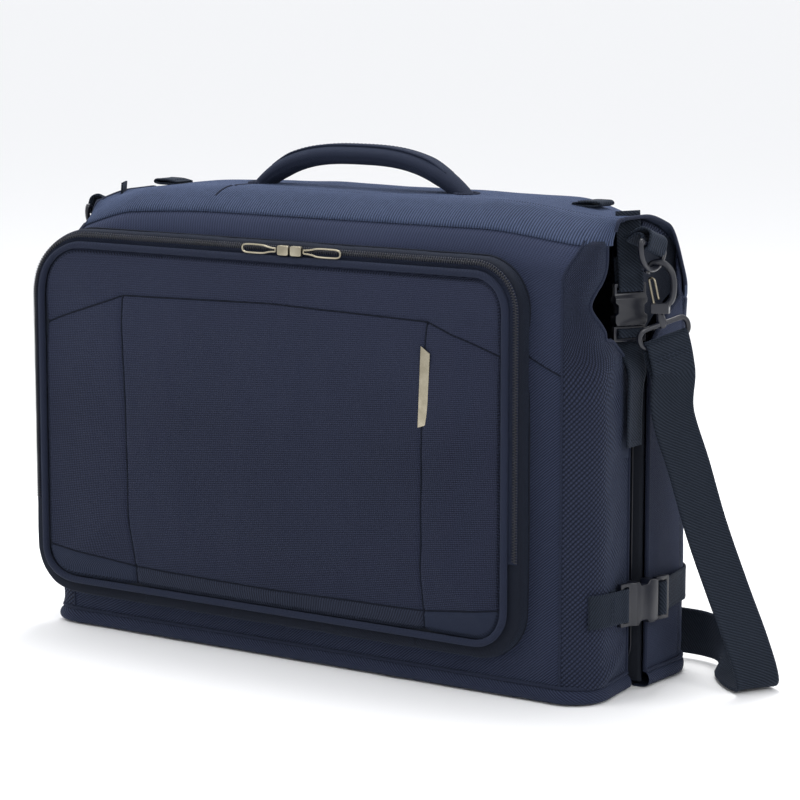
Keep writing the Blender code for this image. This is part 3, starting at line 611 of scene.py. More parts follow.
inner_x = HALF_WIDTH - FRONT_TAPER
FRONT_WALL = Wall([(-inner_x, FRONT_BACK_Y), (-HALF_WIDTH, FRONT_Y), (HALF_WIDTH, FRONT_Y),
                   (inner_x, FRONT_BACK_Y)], [FRONT_CORNER] * 2)
REAR_WALL = Wall([(HALF_WIDTH, REAR_FRONT_Y), (HALF_WIDTH, REAR_Y), (-HALF_WIDTH, REAR_Y),
                  (-HALF_WIDTH, REAR_FRONT_Y)], [REAR_CORNER] * 2)
PANEL_EDGE = FRONT_WALL.distance_to_y(-0.1326)
GUSSET_EDGE = [(0.000, 0.000), (0.248, 0.000), (0.262, 0.007), (0.300, 0.050), (0.330, 0.066),
               (0.366, 0.050), (0.400, 0.056)]


# ------------------------------------------------------ front and rear halves

def spine_height(y):
    """The spine's outer surface at a depth y: a broad roll at the front and one at the rear."""
    if y < FRONT_Y + SHOULDER:
        into = FRONT_Y + SHOULDER - max(y, FRONT_Y)
        return SPINE_TOP - SHOULDER + sqrt(max(0.0, SHOULDER ** 2 - into ** 2))
    if y > REAR_Y - SPINE_REAR_ROLL:
        into = min(y, REAR_Y) - REAR_Y + SPINE_REAR_ROLL
        return SPINE_TOP - SPINE_REAR_ROLL + sqrt(max(0.0, SPINE_REAR_ROLL ** 2 - into ** 2))
    return SPINE_TOP


def spine_sag(x, y):
    """The top droops towards its ends, most at its front left and its rear right."""
    if x < 0:
        sag = -0.012 * max(0.0, (-0.10 - x) / 0.172) ** 2
        return sag - 0.012 * smoothstep(0.205, 0.275, -x) * smoothstep(0.04, 0.120, -y)
    sag = -0.010 * smoothstep(0.160, 0.285, x)
    return sag - 0.022 * smoothstep(0.180, 0.275, x) * smoothstep(-0.050, 0.035, y)


def drooped(point):
    """A place with the top's sag, which fades out down the walls."""
    return point + UP * spine_sag(point.x, point.y) * smoothstep(0.290, 0.385, point.z)


def shouldered(point):
    """Bend the top of the front half's square section back round the shoulder."""
    rise = point.z - SPINE_TOP + SHOULDER
    middle = FRONT_Y + SHOULDER
    if rise <= 0 or point.y >= middle:
        return point
    round_by = sqrt(max(0.0, SHOULDER ** 2 - rise ** 2)) / SHOULDER
    return Vector((point.x, middle - (middle - point.y) * round_by, point.z))


def panel_edge(z):
    """How far along the wall the front panel's side seam runs, at a height."""
    return PANEL_EDGE - 0.012 * smoothstep(0.350, 0.390, z)


def wall_top(y):
    """The front half's top edge: a hem under the spine's, then up behind its corner."""
    return SEAM_HEIGHT + 0.0136 * smoothstep(FRONT_Y + 0.022, FRONT_Y + 0.040, y)


def panel_seam(side):
    """A slanting seam between the pocket and the side seam, which starts at the pocket."""
    inner = POCKET[1] if side > 0 else -POCKET[0] - 0.018
    return [(inner * side, 0.284), (0.249 * side, 0.268)]


def seam_groove(x, z):
    """How deep the two slanting seams pinch the front panel at a place."""
    depth = 0.0
    for side, _ in SIDES:
        (x0, z0), (x1, z1) = panel_seam(side)
        if min(x0, x1) < x < max(x0, x1):
            depth += 0.0016 * exp(-((z - z0 - (z1 - z0) * (x - x0) / (x1 - x0)) / 0.0022) ** 2)
    return depth


def panel_measure(across, along):
    """Metres on the front panel, whose middle is 0 across, as on the spine."""
    width = FRONT_WALL.length - 2 * PANEL_EDGE
    height = SEAM_HEIGHT - BASE_SEAM
    return [[((i / across - 0.5) * width, j / along * height) for j in range(along + 1)]
            for i in range(across + 1)]


def front_panel_point(u, v):
    """u runs along the wall between the side seams, v from the base to the spine's hem."""
    rough = BASE_SEAM + (SEAM_HEIGHT - BASE_SEAM) * v
    start = panel_edge(rough)
    point, out = FRONT_WALL.at(start + (FRONT_WALL.length - 2 * start) * u)
    z = BASE_SEAM + (wall_top(point.y) - BASE_SEAM) * v
    loose = smoothstep(0.0, 0.05, v) * smoothstep(1.0, 0.93, v)
    edges = smoothstep(0.0, 0.03, u) * smoothstep(1.0, 0.97, u)
    puff = (crease(point.x, 0.0, z, 9.0, 0.0018) + 0.0012) * loose * edges
    puff += crease(point.x * 0.6, 1.0, z, 26.0, 0.0008) * loose - seam_groove(point.x, z)
    tuck = HEM_TUCK * smoothstep(HEM_LOW, HEM_HIGH, z)
    return drooped(shouldered(point + out * (puff - tuck) + UP * z))


def panel_place(x, z):
    """A place on the flat of the front panel."""
    start = panel_edge(z)
    u = (FRONT_WALL.length / 2 + x - start) / (FRONT_WALL.length - 2 * start)
    return front_panel_point(u, (z - BASE_SEAM) / (SEAM_HEIGHT - BASE_SEAM))


def build_front_panel():
    piece = sheet("front_panel", front_panel_point, 300, 130, TWILL, thickness=0.0020,
                  measure=panel_measure(300, 130))
    place(piece, "front_half", ["front_case"])
    for side, name in SIDES:
        flat = even_path([Vector((x, 0, z)) for x, z in panel_seam(side)], 0.002)
        line = [panel_place(p.x, p.z) + Vector((0, -0.0003, 0)) for p in flat]
        # The seam is a thin tube of painted shade.
        place(tube(f"panel_seam_{name}", line, 0.0008, SEAM_SHADOW, sides=6), "front_half")


def gusset_edge(z):
    """How far along the wall the gusset's free edge runs: the side, then the hood's cut."""
    for (z0, a), (z1, b) in zip(GUSSET_EDGE, GUSSET_EDGE[1:]):
        if z <= z1:
            return a + (b - a) * smoothstep(z0, z1, z)
    return GUSSET_EDGE[-1][1]


def gusset_point(side, u, v):
    """u runs from the front panel's seam to the free edge, v from the base to the top."""
    rough = BASE_SEAM + (SEAM_HEIGHT - BASE_SEAM) * v
    start = panel_edge(rough)
    point, out = FRONT_WALL.at(start + (gusset_edge(rough) - start) * u)
    z = BASE_SEAM + (wall_top(point.y) - BASE_SEAM) * v
    belly = sin(pi * u) * smoothstep(0.0, 0.06, v)
    fold = 0.0042 * exp(-((z - 0.034 - 0.45 * (0.075 + point.y)) / 0.008) ** 2) * sin(pi * u)
    fold += 0.0030 * exp(-((z - 0.060 + 0.60 * (0.080 + point.y)) / 0.007) ** 2) * sin(pi * u)
    puff = 0.0026 * belly + crease(point.y, side, z, 24.0, 0.0016) * belly + fold
    bent = shouldered(point + out * puff + UP * z)
    return drooped(Vector((-bent.x * side, bent.y, bent.z)))


def build_gussets():
    for side, name in SIDES:
        def point(u, v, side=side):
            return gusset_point(side, u if side > 0 else 1 - u, v)
        piece = sheet(f"gusset_{name}", point, 44, 120, GUSSET, thickness=0.0020)
        place(piece, "front_half")
        edge = [gusset_point(side, 1.0, k / 110) for k in range(111)]
        place(tube(f"gusset_binding_{name}", edge, 0.0016, PIPING), "front_half")
        seam = [gusset_point(side, 0.0, k / 110) for k in range(111)]
        place(tube(f"panel_piping_{name}", seam, 0.0011, PIPING), "front_half")
        patch = refined(f"gusset_patch_{name}", SMOOTH, 0.0004)
        place(patch, "front_half", [f"gusset_patch_{name}"])


def base_sheet(name, wall, back_y, front_y, body, sag):
    """The underside, with a loose roll of cloth between it and the seam above it."""
    lowest = 0.0007
    roll = [(0.0, BASE_SEAM), (0.0026 + sag * 0.5, BASE_SEAM - 0.003), (0.0034 + sag, 0.0062),
            (0.0018 + sag, 0.0022), (-0.004, lowest), (-0.012, lowest)]
    rows = smooth_path([Vector(p) for p in roll], 3)
    middle_y = (back_y + front_y) / 2

    def point(u, v):
        at, out = wall.at(wall.length * u)
        k = v * (len(rows) + 5)
        if k <= len(rows) - 1:
            reach, height = rows[int(k)]
            uneven = 1 + 0.35 * noise.noise(at * 30)
            return at + out * (reach * uneven if reach > 0 else reach) + UP * height
        inner = at + out * rows[-1][0]
        centre = Vector((max(-0.235, min(0.235, inner.x)), middle_y, 0))
        share = (k - len(rows) + 1) / 6
        return inner.lerp(centre, share) + UP * lowest

    piece = sheet(name, point, 260, len(rows) + 5, TWILL)
    place(piece, body)
    edge = [wall.at(wall.length * k / 300) for k in range(301)]
    piping = [p + out * 0.0010 + UP * (BASE_SEAM + 0.0006) for p, out in edge]
    place(tube(f"{name}_piping", piping, 0.0016, PIPING), body)


def build_inner_floor(name, body, low_y, high_y):
    """The lining on the floor of a case, which closes the underside behind its open face."""
    def point(u, v):
        x = -0.262 + 0.524 * u
        y = low_y + (high_y - low_y) * v
        return Vector((x, y, 0.0022 + crease(x, y, 3.0, 18.0, 0.0006)))
    place(sheet(name, point, 60, 8, LINING, thickness=0.0012), body)


def rear_top(point):
    """The height of the rear half's wall: a slant, then up inside the spine's roll."""
    y = point.y
    slant = 0.285 + 0.053 / 0.055 * (y - REAR_FRONT_Y)
    if y < 0.010:
        return slant
    centre = REAR_Y - SPINE_REAR_ROLL
    inside = SPINE_REAR_ROLL - 0.0062
    roll = SPINE_TOP - SPINE_REAR_ROLL + sqrt(max(0.0, inside ** 2 - (y - centre) ** 2))
    back = REAR_SEAM_HEIGHT - 0.001
    high = roll if y < 0.0367 else back
    return slant + (high - slant) * smoothstep(0.010, 0.0150, y)


def rear_wall_point(u, v):
    """u runs along the wall from its right end, v from the base to the top edge."""
    point, out = REAR_WALL.at(REAR_WALL.length * u)
    z = BASE_SEAM + (rear_top(point) - BASE_SEAM) * v
    tuck = 0.0050 * smoothstep(REAR_SEAM_HEIGHT - 0.006, REAR_SEAM_HEIGHT + 0.002, z)
    loose = smoothstep(0.0, 0.05, v) * smoothstep(1.0, 0.92, v)
    ends = smoothstep(0.0, 0.03, u) * smoothstep(1.0, 0.97, u)
    puff = (0.0014 + crease(point.x, point.y + 5, z, 9.0, 0.0018)) * loose * (0.3 + 0.7 * ends)
    return drooped(point + out * (puff - tuck) + UP * z)


def build_rear_half():
    piece = sheet("rear_wall", rear_wall_point, 260, 90, TWILL, thickness=0.0024)
    place(piece, "rear_half", ["rear_case"])
    span = (REAR_Y - REAR_FRONT_Y - 0.031) / REAR_WALL.length
    for end, name in ((0.0, "right"), (1.0, "left")):
        edge = [rear_wall_point(end, k / 70) for k in range(71)]
        rim = [rear_wall_point(abs(end - span * k / 24), 1.0) for k in range(1, 25)]
        place(tube(f"rear_binding_{name}", edge + rim, 0.0019, PIPING), "rear_half")


# ---------------------------------------------------------------------- spine

SPINE_LEGS = (0.0440, 0.0760, SPINE_REAR_ROLL * pi / 2, 0.020)
RIDGE_SHARE = SPINE_LEGS[0] / sum(SPINE_LEGS)
SPINE_REACH = 0.286
SPINE_CORNER = 0.030
SPINE_SPLIT = 0.40


def arc_place(centre, radius, angle):
    """A place and its outward direction on an arc in the spine's section."""
    return (centre[0] + radius * cos(angle), centre[1] + radius * sin(angle)), (cos(angle), sin(angle))


def spine_profile(share):
    """A place and its outward direction along the spine, from the front hem to the rear one."""
    front = (FRONT_Y + SHOULDER, SPINE_TOP - SHOULDER)
    rear = (REAR_Y - SPINE_REAR_ROLL, SPINE_TOP - SPINE_REAR_ROLL)
    legs = SPINE_LEGS
    distance = share * sum(legs)
    if distance <= legs[0]:
        return arc_place(front, SHOULDER, pi / 2 + (legs[0] - distance) / SHOULDER)
    distance -= legs[0]
    if distance <= legs[1]:
        return (front[0] + distance, SPINE_TOP), (0, 1)
    distance -= legs[1]
    if distance <= legs[2]:
        return arc_place(rear, SPINE_REAR_ROLL, pi / 2 - distance / SPINE_REAR_ROLL)
    distance -= legs[2]
    return (REAR_Y, rear[1] - distance), (1, 0)


def spine_point(u, share, ribs=True):
    """A place on the spine, whose ends turn the cases' corners."""
    (y, z), (ny, nz) = spine_profile(share)
    across = (2 * u - 1) * SPINE_REACH
    start = SPINE_HALF_WIDTH + 0.0015 - SPINE_CORNER
    turn = max(0.0, abs(across) - start) / SPINE_CORNER
    x = (min(abs(across), start) + SPINE_CORNER * sin(turn)) * (1 if across > 0 else -1)
    back = SPINE_CORNER * (1 - cos(turn))
    front_share = 1 - smoothstep(FRONT_Y, -0.080, y)
    rear_share = smoothstep(-0.025, REAR_Y, y)
    flat = smoothstep(0.0, 0.02, share) * smoothstep(1.0, 0.95, share)
    lift = crease(x, y, 2.0, 10.0, 0.0014) * flat + 0.0010 * flat
    lift -= 0.0012 * exp(-((share - RIDGE_SHARE) / 0.006) ** 2)
    if ribs:
        lift -= 0.00036 * cos(2 * pi * across / RIB_PITCH)
    return drooped(Vector((x, y + ny * lift + back * (front_share - rear_share), z + nz * lift)))


def spine_measure(across, along, low, high):
    """Metres on the spine: x across, and the distance over the roll."""
    length = sum(SPINE_LEGS)
    measure = []
    for i in range(across + 1):
        x = (2 * i / across - 1) * SPINE_REACH
        measure.append([(x, length * (low + (high - low) * j / along)) for j in range(along + 1)])
    return measure


def build_spine():
    """One sheet bridges the spine's front edge, the other its rear edge."""
    columns = round(2 * SPINE_REACH / RIB_PITCH * 5)

    def part(name, low, high, rows):
        return sheet(name, lambda u, v: spine_point(u, low + (high - low) * v), columns, rows, RIBBED_PAINTED_LIGHT_AND_SHADE,
                     thickness=0.0014, measure=spine_measure(columns, rows, low, high))

    front = part("spine_front", 0, SPINE_SPLIT, 36)
    place(front, ("front_half", "spine", (0, FRONT_Y, 0.3800), (0, FRONT_Y, 0.3905)),
          ["spine_panel"])
    rear = part("spine_rear", SPINE_SPLIT, 1, 40)
    place(rear, ("spine", "rear_half", (0, REAR_Y, 0.346), (0, REAR_Y, 0.329)))
    for u, name in ((0.0, "left"), (1.0, "right")):
        rim = [spine_point(u, 0.065 + 0.83 * k / 80, False) for k in range(81)]
        place(tube(f"spine_binding_{name}", rim, 0.0016, PIPING), "spine")
        build_cheek(1 if u else -1, name)
    for node in ("handle_anchor_right", "handle_anchor_left"):
        refine(node, PLASTIC)


def build_cheek(side, name):
    """The lining that closes the spine's end, darkened as painted shade, with a mesh flap along its top."""
    def point(u, v):
        y = -0.040 + 0.060 * u
        low = 0.289 + 0.96 * (y - REAR_FRONT_Y)
        high = spine_height(y) - 0.0030
        x = 0.2650 - 0.006 * sin(pi * v) * sin(pi * u)
        z = low + (high - low) * v
        return drooped(Vector((x * side, y if side > 0 else -0.020 - y, z)))
    piece = sheet(f"spine_cheek_{name}", point, 20, 30, [SHADOWED_LINING, GUSSET], thickness=0.0010)
    for polygon in piece.data.polygons:
        polygon.material_index = 1 if polygon.center.z > 0.372 else 0
    place(piece, "spine")


def build_top_loops():
    for side, name in SIDES:
        drop = spine_sag(0.215 * side, HANDLE_Y)
        low = SPINE_TOP + 0.0016 + drop
        high = low + 0.0034
        controls = [Vector((x * side, HANDLE_Y, z)) for x, z in (
            (0.203, low), (0.216, low), (0.228, low), (0.2330, low + 0.0008), (0.2345, (low + high) / 2),
            (0.2330, high), (0.228, high + 0.0003), (0.218, high), (0.208, high - 0.0018))]
        path = smooth_path(controls, 4)
        piece = strap(f"pull_loop_{name}", path, [Vector((0, 1, 0))] * len(path), 0.023, WEB_THICKNESS)
        place(piece, "spine", [f"top_loop_{name}"])
        rows = [[Vector((x * side, y, high + 0.0004)) for y in (-0.054, -0.036)] for x in (0.2125, 0.2155)]
        stitches(f"pull_loop_stitches_{name}", rows, "spine", 0.0024, 0.0012)


# --------------------------------------------------------------------- handle

def handle_line(u):
    """The grip's middle line and how full it is there, from -1 to 1."""
    rise = (1 - abs(u) ** 2.8) ** 0.95
    foot = SPINE_TOP - 0.0045
    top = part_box("handle_grip")[1].z - GRIP_HEIGHT + 0.0035
    centre = Vector((HANDLE_X + HANDLE_REACH * u, HANDLE_Y, foot + (top - foot) * rise))
    return centre, min(1.0, 0.78 + 0.9 * (1 - abs(u)))


def handle_normal(u):
    """The upward direction square to the grip."""
    ahead = handle_line(min(1.0, u + 0.01))[0] - handle_line(max(-1.0, u - 0.01))[0]
    return Vector((-ahead.z, 0, ahead.x)).normalized()


def build_handle():
    def point(a, b):
        u = -1 + 2 * b
        centre, fill = handle_line(u)
        angle = -2 * pi * a
        pucker = 1 + 0.016 * sin(2 * pi * b * 60) * smoothstep(0.75, 1.0, sin(angle))
        seam = 1 - 0.06 * exp(-((abs(sin(angle) + 0.30)) / 0.07) ** 2)
        y = GRIP_DEPTH * fill * cos(angle) * seam
        lift = GRIP_HEIGHT * fill * sin(angle) * seam * pucker
        return centre + Vector((0, y, 0)) + handle_normal(u) * lift
    grip = sheet("grip_pad", point, 40, 150, SMOOTH, wrap=True)
    place(grip, "handle", ["handle_grip"])
    shares = [-0.80 + 1.60 * k / 80 for k in range(81)]
    lifts = [GRIP_HEIGHT * handle_line(u)[1] + 0.0001 - 0.0018 * smoothstep(0.62, 0.80, abs(u))
             for u in shares]
    line = [handle_line(u)[0] + handle_normal(u) * lift for u, lift in zip(shares, lifts)]
    cap = strap("grip_cap", line, [Vector((0, 1, 0))] * len(line), 0.0130, 0.0016, SMOOTH)
    place(cap, "handle", ["handle_cap"])
    rows = [[p + Vector((0, y, 0.0009)) for p in line] for y in (-0.0046, 0.0046)]
    stitches("grip_stitches", rows, "handle", 0.0028, 0.0014)
    for side, name in SIDES:
        foot = Vector((HANDLE_X + 0.109 * side, HANDLE_Y, SPINE_TOP + 0.0014))
        angles = [2 * pi * k / 40 for k in range(40)]
        ring = [foot + Vector((0.0105 * cos(a), 0.0112 * sin(a), 0)) for a in angles]
        place(tube(f"handle_collar_{name}", ring, 0.0013, PIPING, closed=True), "spine")
    fold = [spine_point(0.5 - 0.121 / 2 / SPINE_REACH, 0.08 + 0.30 * k / 40, False) for k in range(41)]
    place(tube("spine_seam", fold, 0.0010, PIPING), "spine")


# --------------------------------------------------------------------- pocket

YOKE = [(-0.262, 0.2755), (-0.192, 0.3080), (-0.030, 0.3115), (0.130, 0.3075), (0.203, 0.2815)]
LEFT_SEAM = [(-0.192, 0.3080), (-0.184, 0.0440)]
RIGHT_SEAM = [(0.130, 0.3075), (0.124, 0.0440)]
LOW_SEAM = [(-0.262, 0.0760), (-0.184, 0.0660), (-0.030, 0.0640), (0.124, 0.0660), (0.205, 0.0760)]


def pocket_path(inset, step=0.003):
    """The pocket's rounded outline in the plane y = 0, drawn in by inset."""
    left, right, low, high = POCKET
    left, right, low, high = left + inset, right - inset, low + inset, high - inset
    radius = POCKET_RADIUS - inset
    corners = [((left + right) / 2, low), (right, low), (right, high), (left, high), (left, low),
               ((left + right) / 2, low)]
    path = [Vector((p[0], 0, p[1])) for p in fillet(corners, [radius] * 4, 10)][:-1]
    return even_path(path, step, closed=True)


def row_limits(z, inset):
    """The left and right edges of the pocket's rounded outline at a height."""
    left, right, low, high = POCKET
    radius = POCKET_RADIUS - inset
    low, high = low + inset, high - inset
    into = max(low + radius - z, z - (high - radius), 0.0)
    cut = radius - sqrt(max(0.0, radius ** 2 - into ** 2))
    return left + inset + cut, right - inset - cut


def polyline_height(line, x):
    """The height of a seam at x."""
    for (x0, z0), (x1, z1) in zip(line, line[1:]):
        if x <= x1:
            return z0 + (z1 - z0) * (x - x0) / (x1 - x0)
    return line[-1][1]


def seam_distance(line, x, z):
    """Roughly how far a place on the face is from a seam, which runs across or upright."""
    if abs(line[0][0] - line[-1][0]) > 0.1:
        return abs(z - polyline_height(line, x))
    (x0, z0), (x1, z1) = line
    if z > z0:
        return 1.0
    return abs(x - x0 - (x1 - x0) * (z - z0) / (z1 - z0))


def lid_height(x, z):
    """How far the pocket's face stands out: a pillow, pinched along its seams."""
    left, right = row_limits(z, LID_EDGE)
    low, high = POCKET[2] + LID_EDGE, POCKET[3] - LID_EDGE
    edge = min(x - left, right - x, z - low, high - z)
    pillow = 0.0092 * smoothstep(-0.002, 0.070, edge)
    rolled = -0.0026 * (1 - smoothstep(0.0, 0.005, edge))
    gaps = [seam_distance(line, x, z) for line in (YOKE, LEFT_SEAM, RIGHT_SEAM, LOW_SEAM)]
    groove = sum(0.0016 * exp(-(gap / 0.0019) ** 2) for gap in gaps)
    puffed = 0.0013 * (1 - exp(-(min(gaps[:3]) / 0.02) ** 2))
    inside = smoothstep(0.0, 0.03, edge)
    wrinkle = crease(x * 0.7, 7.0, z, 12.0, 0.0020) + crease(x * 1.4, 9.0, z * 0.8, 30.0, 0.0007)
    return pillow + rolled - groove + puffed + wrinkle * inside


def lid_place(x, z, lift=0.0):
    """A place on the pocket's face."""
    return Vector((x, LID_FRONT + FACE_RECESS - lid_height(x, z) - lift, z))


def build_pocket():
    low, high = POCKET[2] + LID_EDGE, POCKET[3] - LID_EDGE

    def face_point(u, v):
        z = low + (high - low) * v
        left, right = row_limits(z, LID_EDGE)
        return lid_place(left + (right - left) * u, z)

    def backing_point(u, v):
        z = low - 0.004 + (high - low + 0.008) * v
        left, right = row_limits(z, LID_EDGE - 0.004)
        return Vector((left + (right - left) * u, BACKING_Y, z))

    face = sheet("pocket_face", face_point, 290, 200, [FACE, SMOOTH, RIBBED_DARK], thickness=0.0020)
    for polygon in face.data.polygons:
        x, _, z = polygon.center
        under = z < polyline_height(LOW_SEAM, x)
        corner = x < LEFT_SEAM[1][0] or x > RIGHT_SEAM[1][0]
        polygon.material_index = 1 if under and corner else 2 if under else 0
    place(face, "pocket_lid", ["pocket_panel"])
    backing = sheet("pocket_backing", backing_point, 40, 30, LINING, thickness=-0.0004)
    place(backing, "pocket_lid")
    for number, seam in enumerate((YOKE, LEFT_SEAM, RIGHT_SEAM, LOW_SEAM)):
        flat = even_path([Vector((x, 0, z)) for x, z in seam], 0.002)
        limits = [row_limits(p.z, LID_EDGE) for p in flat]
        line = [lid_place(p.x, p.z, 0.0002) for p, (left, right) in zip(flat, limits)
                if left + 0.002 < p.x < right - 0.002]
        # Each seam is a thin tube of painted shade.
        place(tube(f"face_seam_{number}", line, 0.0007, SEAM_SHADOW, sides=6), "pocket_lid")
    outer, inner = pocket_path(LID_EDGE + 0.0022, 0.0027), pocket_path(LID_EDGE + 0.0048, 0.0027)
    count = len(outer)
    pairs = [(outer[k], inner[round(k * len(inner) / count) % len(inner)]) for k in range(count)]
    pairs = [(lid_place(a.x, a.z, -0.0001), lid_place(b.x, b.z, -0.0001)) for a, b in pairs]
    dimples("pocket_dimples", pairs, "pocket_lid")
    rim = [Vector((p.x, LID_FRONT + 0.0030, p.z)) for p in pocket_path(0.0125)]
    place(tube("lid_piping", rim, 0.0031, PIPING, closed=True, sides=12), "pocket_lid")
    build_pocket_wall()
    build_zip()
    plate = refined("label_plate", GOLD, 0.0005, segments=3)
    plate.data.transform(Matrix.Translation((0, FACE_RECESS - lid_height(0.1305, 0.2545) + 0.0006, 0)))
    place(plate, "pocket_lid", ["label_plate"])


def build_pocket_wall():
    """The wall round the pocket, from the front panel to the zip's tape, in very dark cloth that is painted
    shade.
    """
    outline = pocket_path(0.0)
    inner = pocket_path(0.0075)
    count = len(outline)
    section = [(-0.0200, -0.1050), (-0.0010, -0.1240), (0.0012, -0.1350), (0.0016, -0.1400),
               (0.0008, -0.1450), (-0.0006, -0.1468), (-0.0014, -0.1472), (-0.0124, -0.1468)]

    def point(u, v):
        at = outline[round(u * count) % count]
        nearest = inner[round(u * len(inner)) % len(inner)]
        out = (at - nearest).normalized()
        position = v * (len(section) - 1)
        k = min(int(position), len(section) - 2)
        reach, y = Vector(section[k]).lerp(Vector(section[k + 1]), position - k)
        puff = crease(at.x, 4.0, at.z, 40.0, 0.0006) * sin(pi * v)
        return Vector((at.x, y, at.z)) + Vector((out.x, 0, out.z)) * (reach + puff)

    wall = sheet("pocket_wall", point, count, 14, POCKET_WALL_SHADE, wrap=True)
    place(wall, "front_half", ["pocket_frame"])
    # The piping at the wall's foot is in the same painted-shade cloth.
    line = [Vector((p.x, -0.1340, p.z)) for p in pocket_path(-0.0012)]
    place(tube("pocket_piping_base", line, 0.0010, POCKET_WALL_SHADE, closed=True), "front_half")


# ------------------------------------------------------------------------ zip

def zip_route(step, inset, y):
    """Up the pocket's left side, over its top and down its right side."""
    left, right = POCKET[0] + inset, POCKET[1] - inset
    top = POCKET[3] - inset
    radius = POCKET_RADIUS - inset
    corners = [(left, ZIP_END_HEIGHT), (left, top), (right, top), (right, ZIP_END_HEIGHT)]
    path = [Vector((p[0], y, p[1])) for p in fillet(corners, [radius] * 2, 12)]
    return even_path(path, step)


def across_zip(path, i):
    """The direction across the zip at a point of its route."""
    ahead = (path[min(i + 1, len(path) - 1)] - path[max(i - 1, 0)]).normalized()
    return ahead.cross(Vector((0, 1, 0))).normalized()


def add_bead(verts, faces, uvs, centre, a, b, c):
    """A six-cornered bar with lowered ends."""
    start = len(verts)
    for share, rise in ((-1.0, 0.35), (-0.6, 1.0), (0.6, 1.0), (1.0, 0.35)):
        middle = centre + a * share
        verts += [middle - b, middle + b, middle + b * 0.7 + c * rise, middle - b * 0.7 + c * rise]
    more_faces, more_uvs = skin(4, 4, start=start, turned=True)
    faces += more_faces
    uvs += more_uvs


def build_zip():
    """Two interlocked rows of coil along the outer edge of a woven tape."""
    path = zip_route(0.003, 0.0066, -0.1474)
    widths = [across_zip(path, i) for i in range(len(path))]
    tape = strap("zip_tape", path, widths, 0.0108, 0.0009, PIPING)
    place(tape, "front_half", ["pocket_zip"])
    pitch = 0.0023
    route = zip_route(pitch, 0.0034, -0.1482)
    verts, faces, uvs = [], [], []
    for i, centre in enumerate(route[1:-1], 1):
        across = across_zip(route, i)
        ahead = (route[i + 1] - route[i - 1]).normalized()
        for sign in (-1, 1):
            middle = centre + ahead * pitch * 0.25 * sign + across * 0.0009 * sign
            reach, half, rise = across * 0.0016, ahead * 0.00046, Vector((0, -0.0011, 0))
            add_bead(verts, faces, uvs, middle, reach, half, rise)
    place(make_object("zip_coil", verts, faces, uvs, ZIP), "front_half")


def build_pull(side, name):
    """A long open loop of flat wire, narrow where it holds the slider."""
    low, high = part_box(f"zip_pull_{name}")
    root, tip = (low.x, high.x) if side > 0 else (high.x, low.x)
    y, z = (low.y + high.y) / 2, (low.z + high.z) / 2
    outline = [(0.00, 0.0013), (0.10, 0.0016), (0.22, 0.0022), (0.40, 0.0034), (0.80, 0.0035),
               (0.95, 0.0029),
               (1.00, 0.0012)]
    run = outline + [(a, -w) for a, w in outline[::-1]]
    points = [Vector((root + (tip - root) * (0.03 + 0.94 * a), y, z + w)) for a, w in run]
    points = even_path(smooth_path(points + points[:1], 5)[:-1], 0.0007, closed=True)
    piece = tube(f"pull_loop_wire_{name}", points, 0.00085, GOLD, closed=True, sides=8)
    place(piece, f"pull_{name}", [f"zip_pull_{name}"])


def build_sliders():
    for side, name in SIDES:
        refine(f"slider_{name}", GOLD, bevel=0.0009, segments=4)
        build_pull(side, name)


# --------------------------------------------------------- straps and buckles

BAR_HAIRPIN = [(0.0037, -0.044), (0.0037, -0.0352), (-0.0037, -0.0352), (-0.0037, -0.044)]
LADDER_LACING = [(-0.0037, 0.01125), (0.0037, 0.01125), (0.0037, 0.00475), (-0.0022, 0.00475)]
LOWER_MOUTH = Vector((0.2845, -0.047, 0.078))
UPPER_MOUTH = Vector((0.2665, -0.062, 0.3055))
UPPER_SCALE = 0.82
UPPER_ROOT = 0.3985


def lower_frame():
    """The lower buckle's frame on the right."""
    return Matrix.Translation(LOWER_MOUTH) @ Matrix.Rotation(-radians(12), 4, "Z")


def upper_frame():
    """The upper buckle's frame on the right."""
    wide = Vector((cos(radians(60)), sin(radians(60)), 0))
    down = Vector((0, 0, -1))
    turn = Matrix((down.cross(wide), down, wide)).transposed().to_4x4()
    return Matrix.Translation(UPPER_MOUTH) @ turn @ Matrix.Scale(UPPER_SCALE, 4)


def local_path(matrix, points):
    """Points of a buckle's frame, as places."""
    return [matrix @ Vector((x, y, 0)) for x, y in points]


def arc_points(centre, radius, start, end, steps, z):
    """Places along a level arc, whose ends are in degrees."""
    return [Vector((centre[0] + radius * cos(a), centre[1] + radius * sin(a), z))
            for a in [radians(start + (end - start) * k / steps) for k in range(steps + 1)]]


def finish_strap(name, controls, widths, width, side, body, replaced):
    """Webbing through control points, placed on a body."""
    path = mirror(smooth_path(controls, 5), side)
    across = mirror(smooth_path(widths, 5), side)
    piece = strap(name, path, across, width, WEB_THICKNESS)
    place(piece, body, replaced)


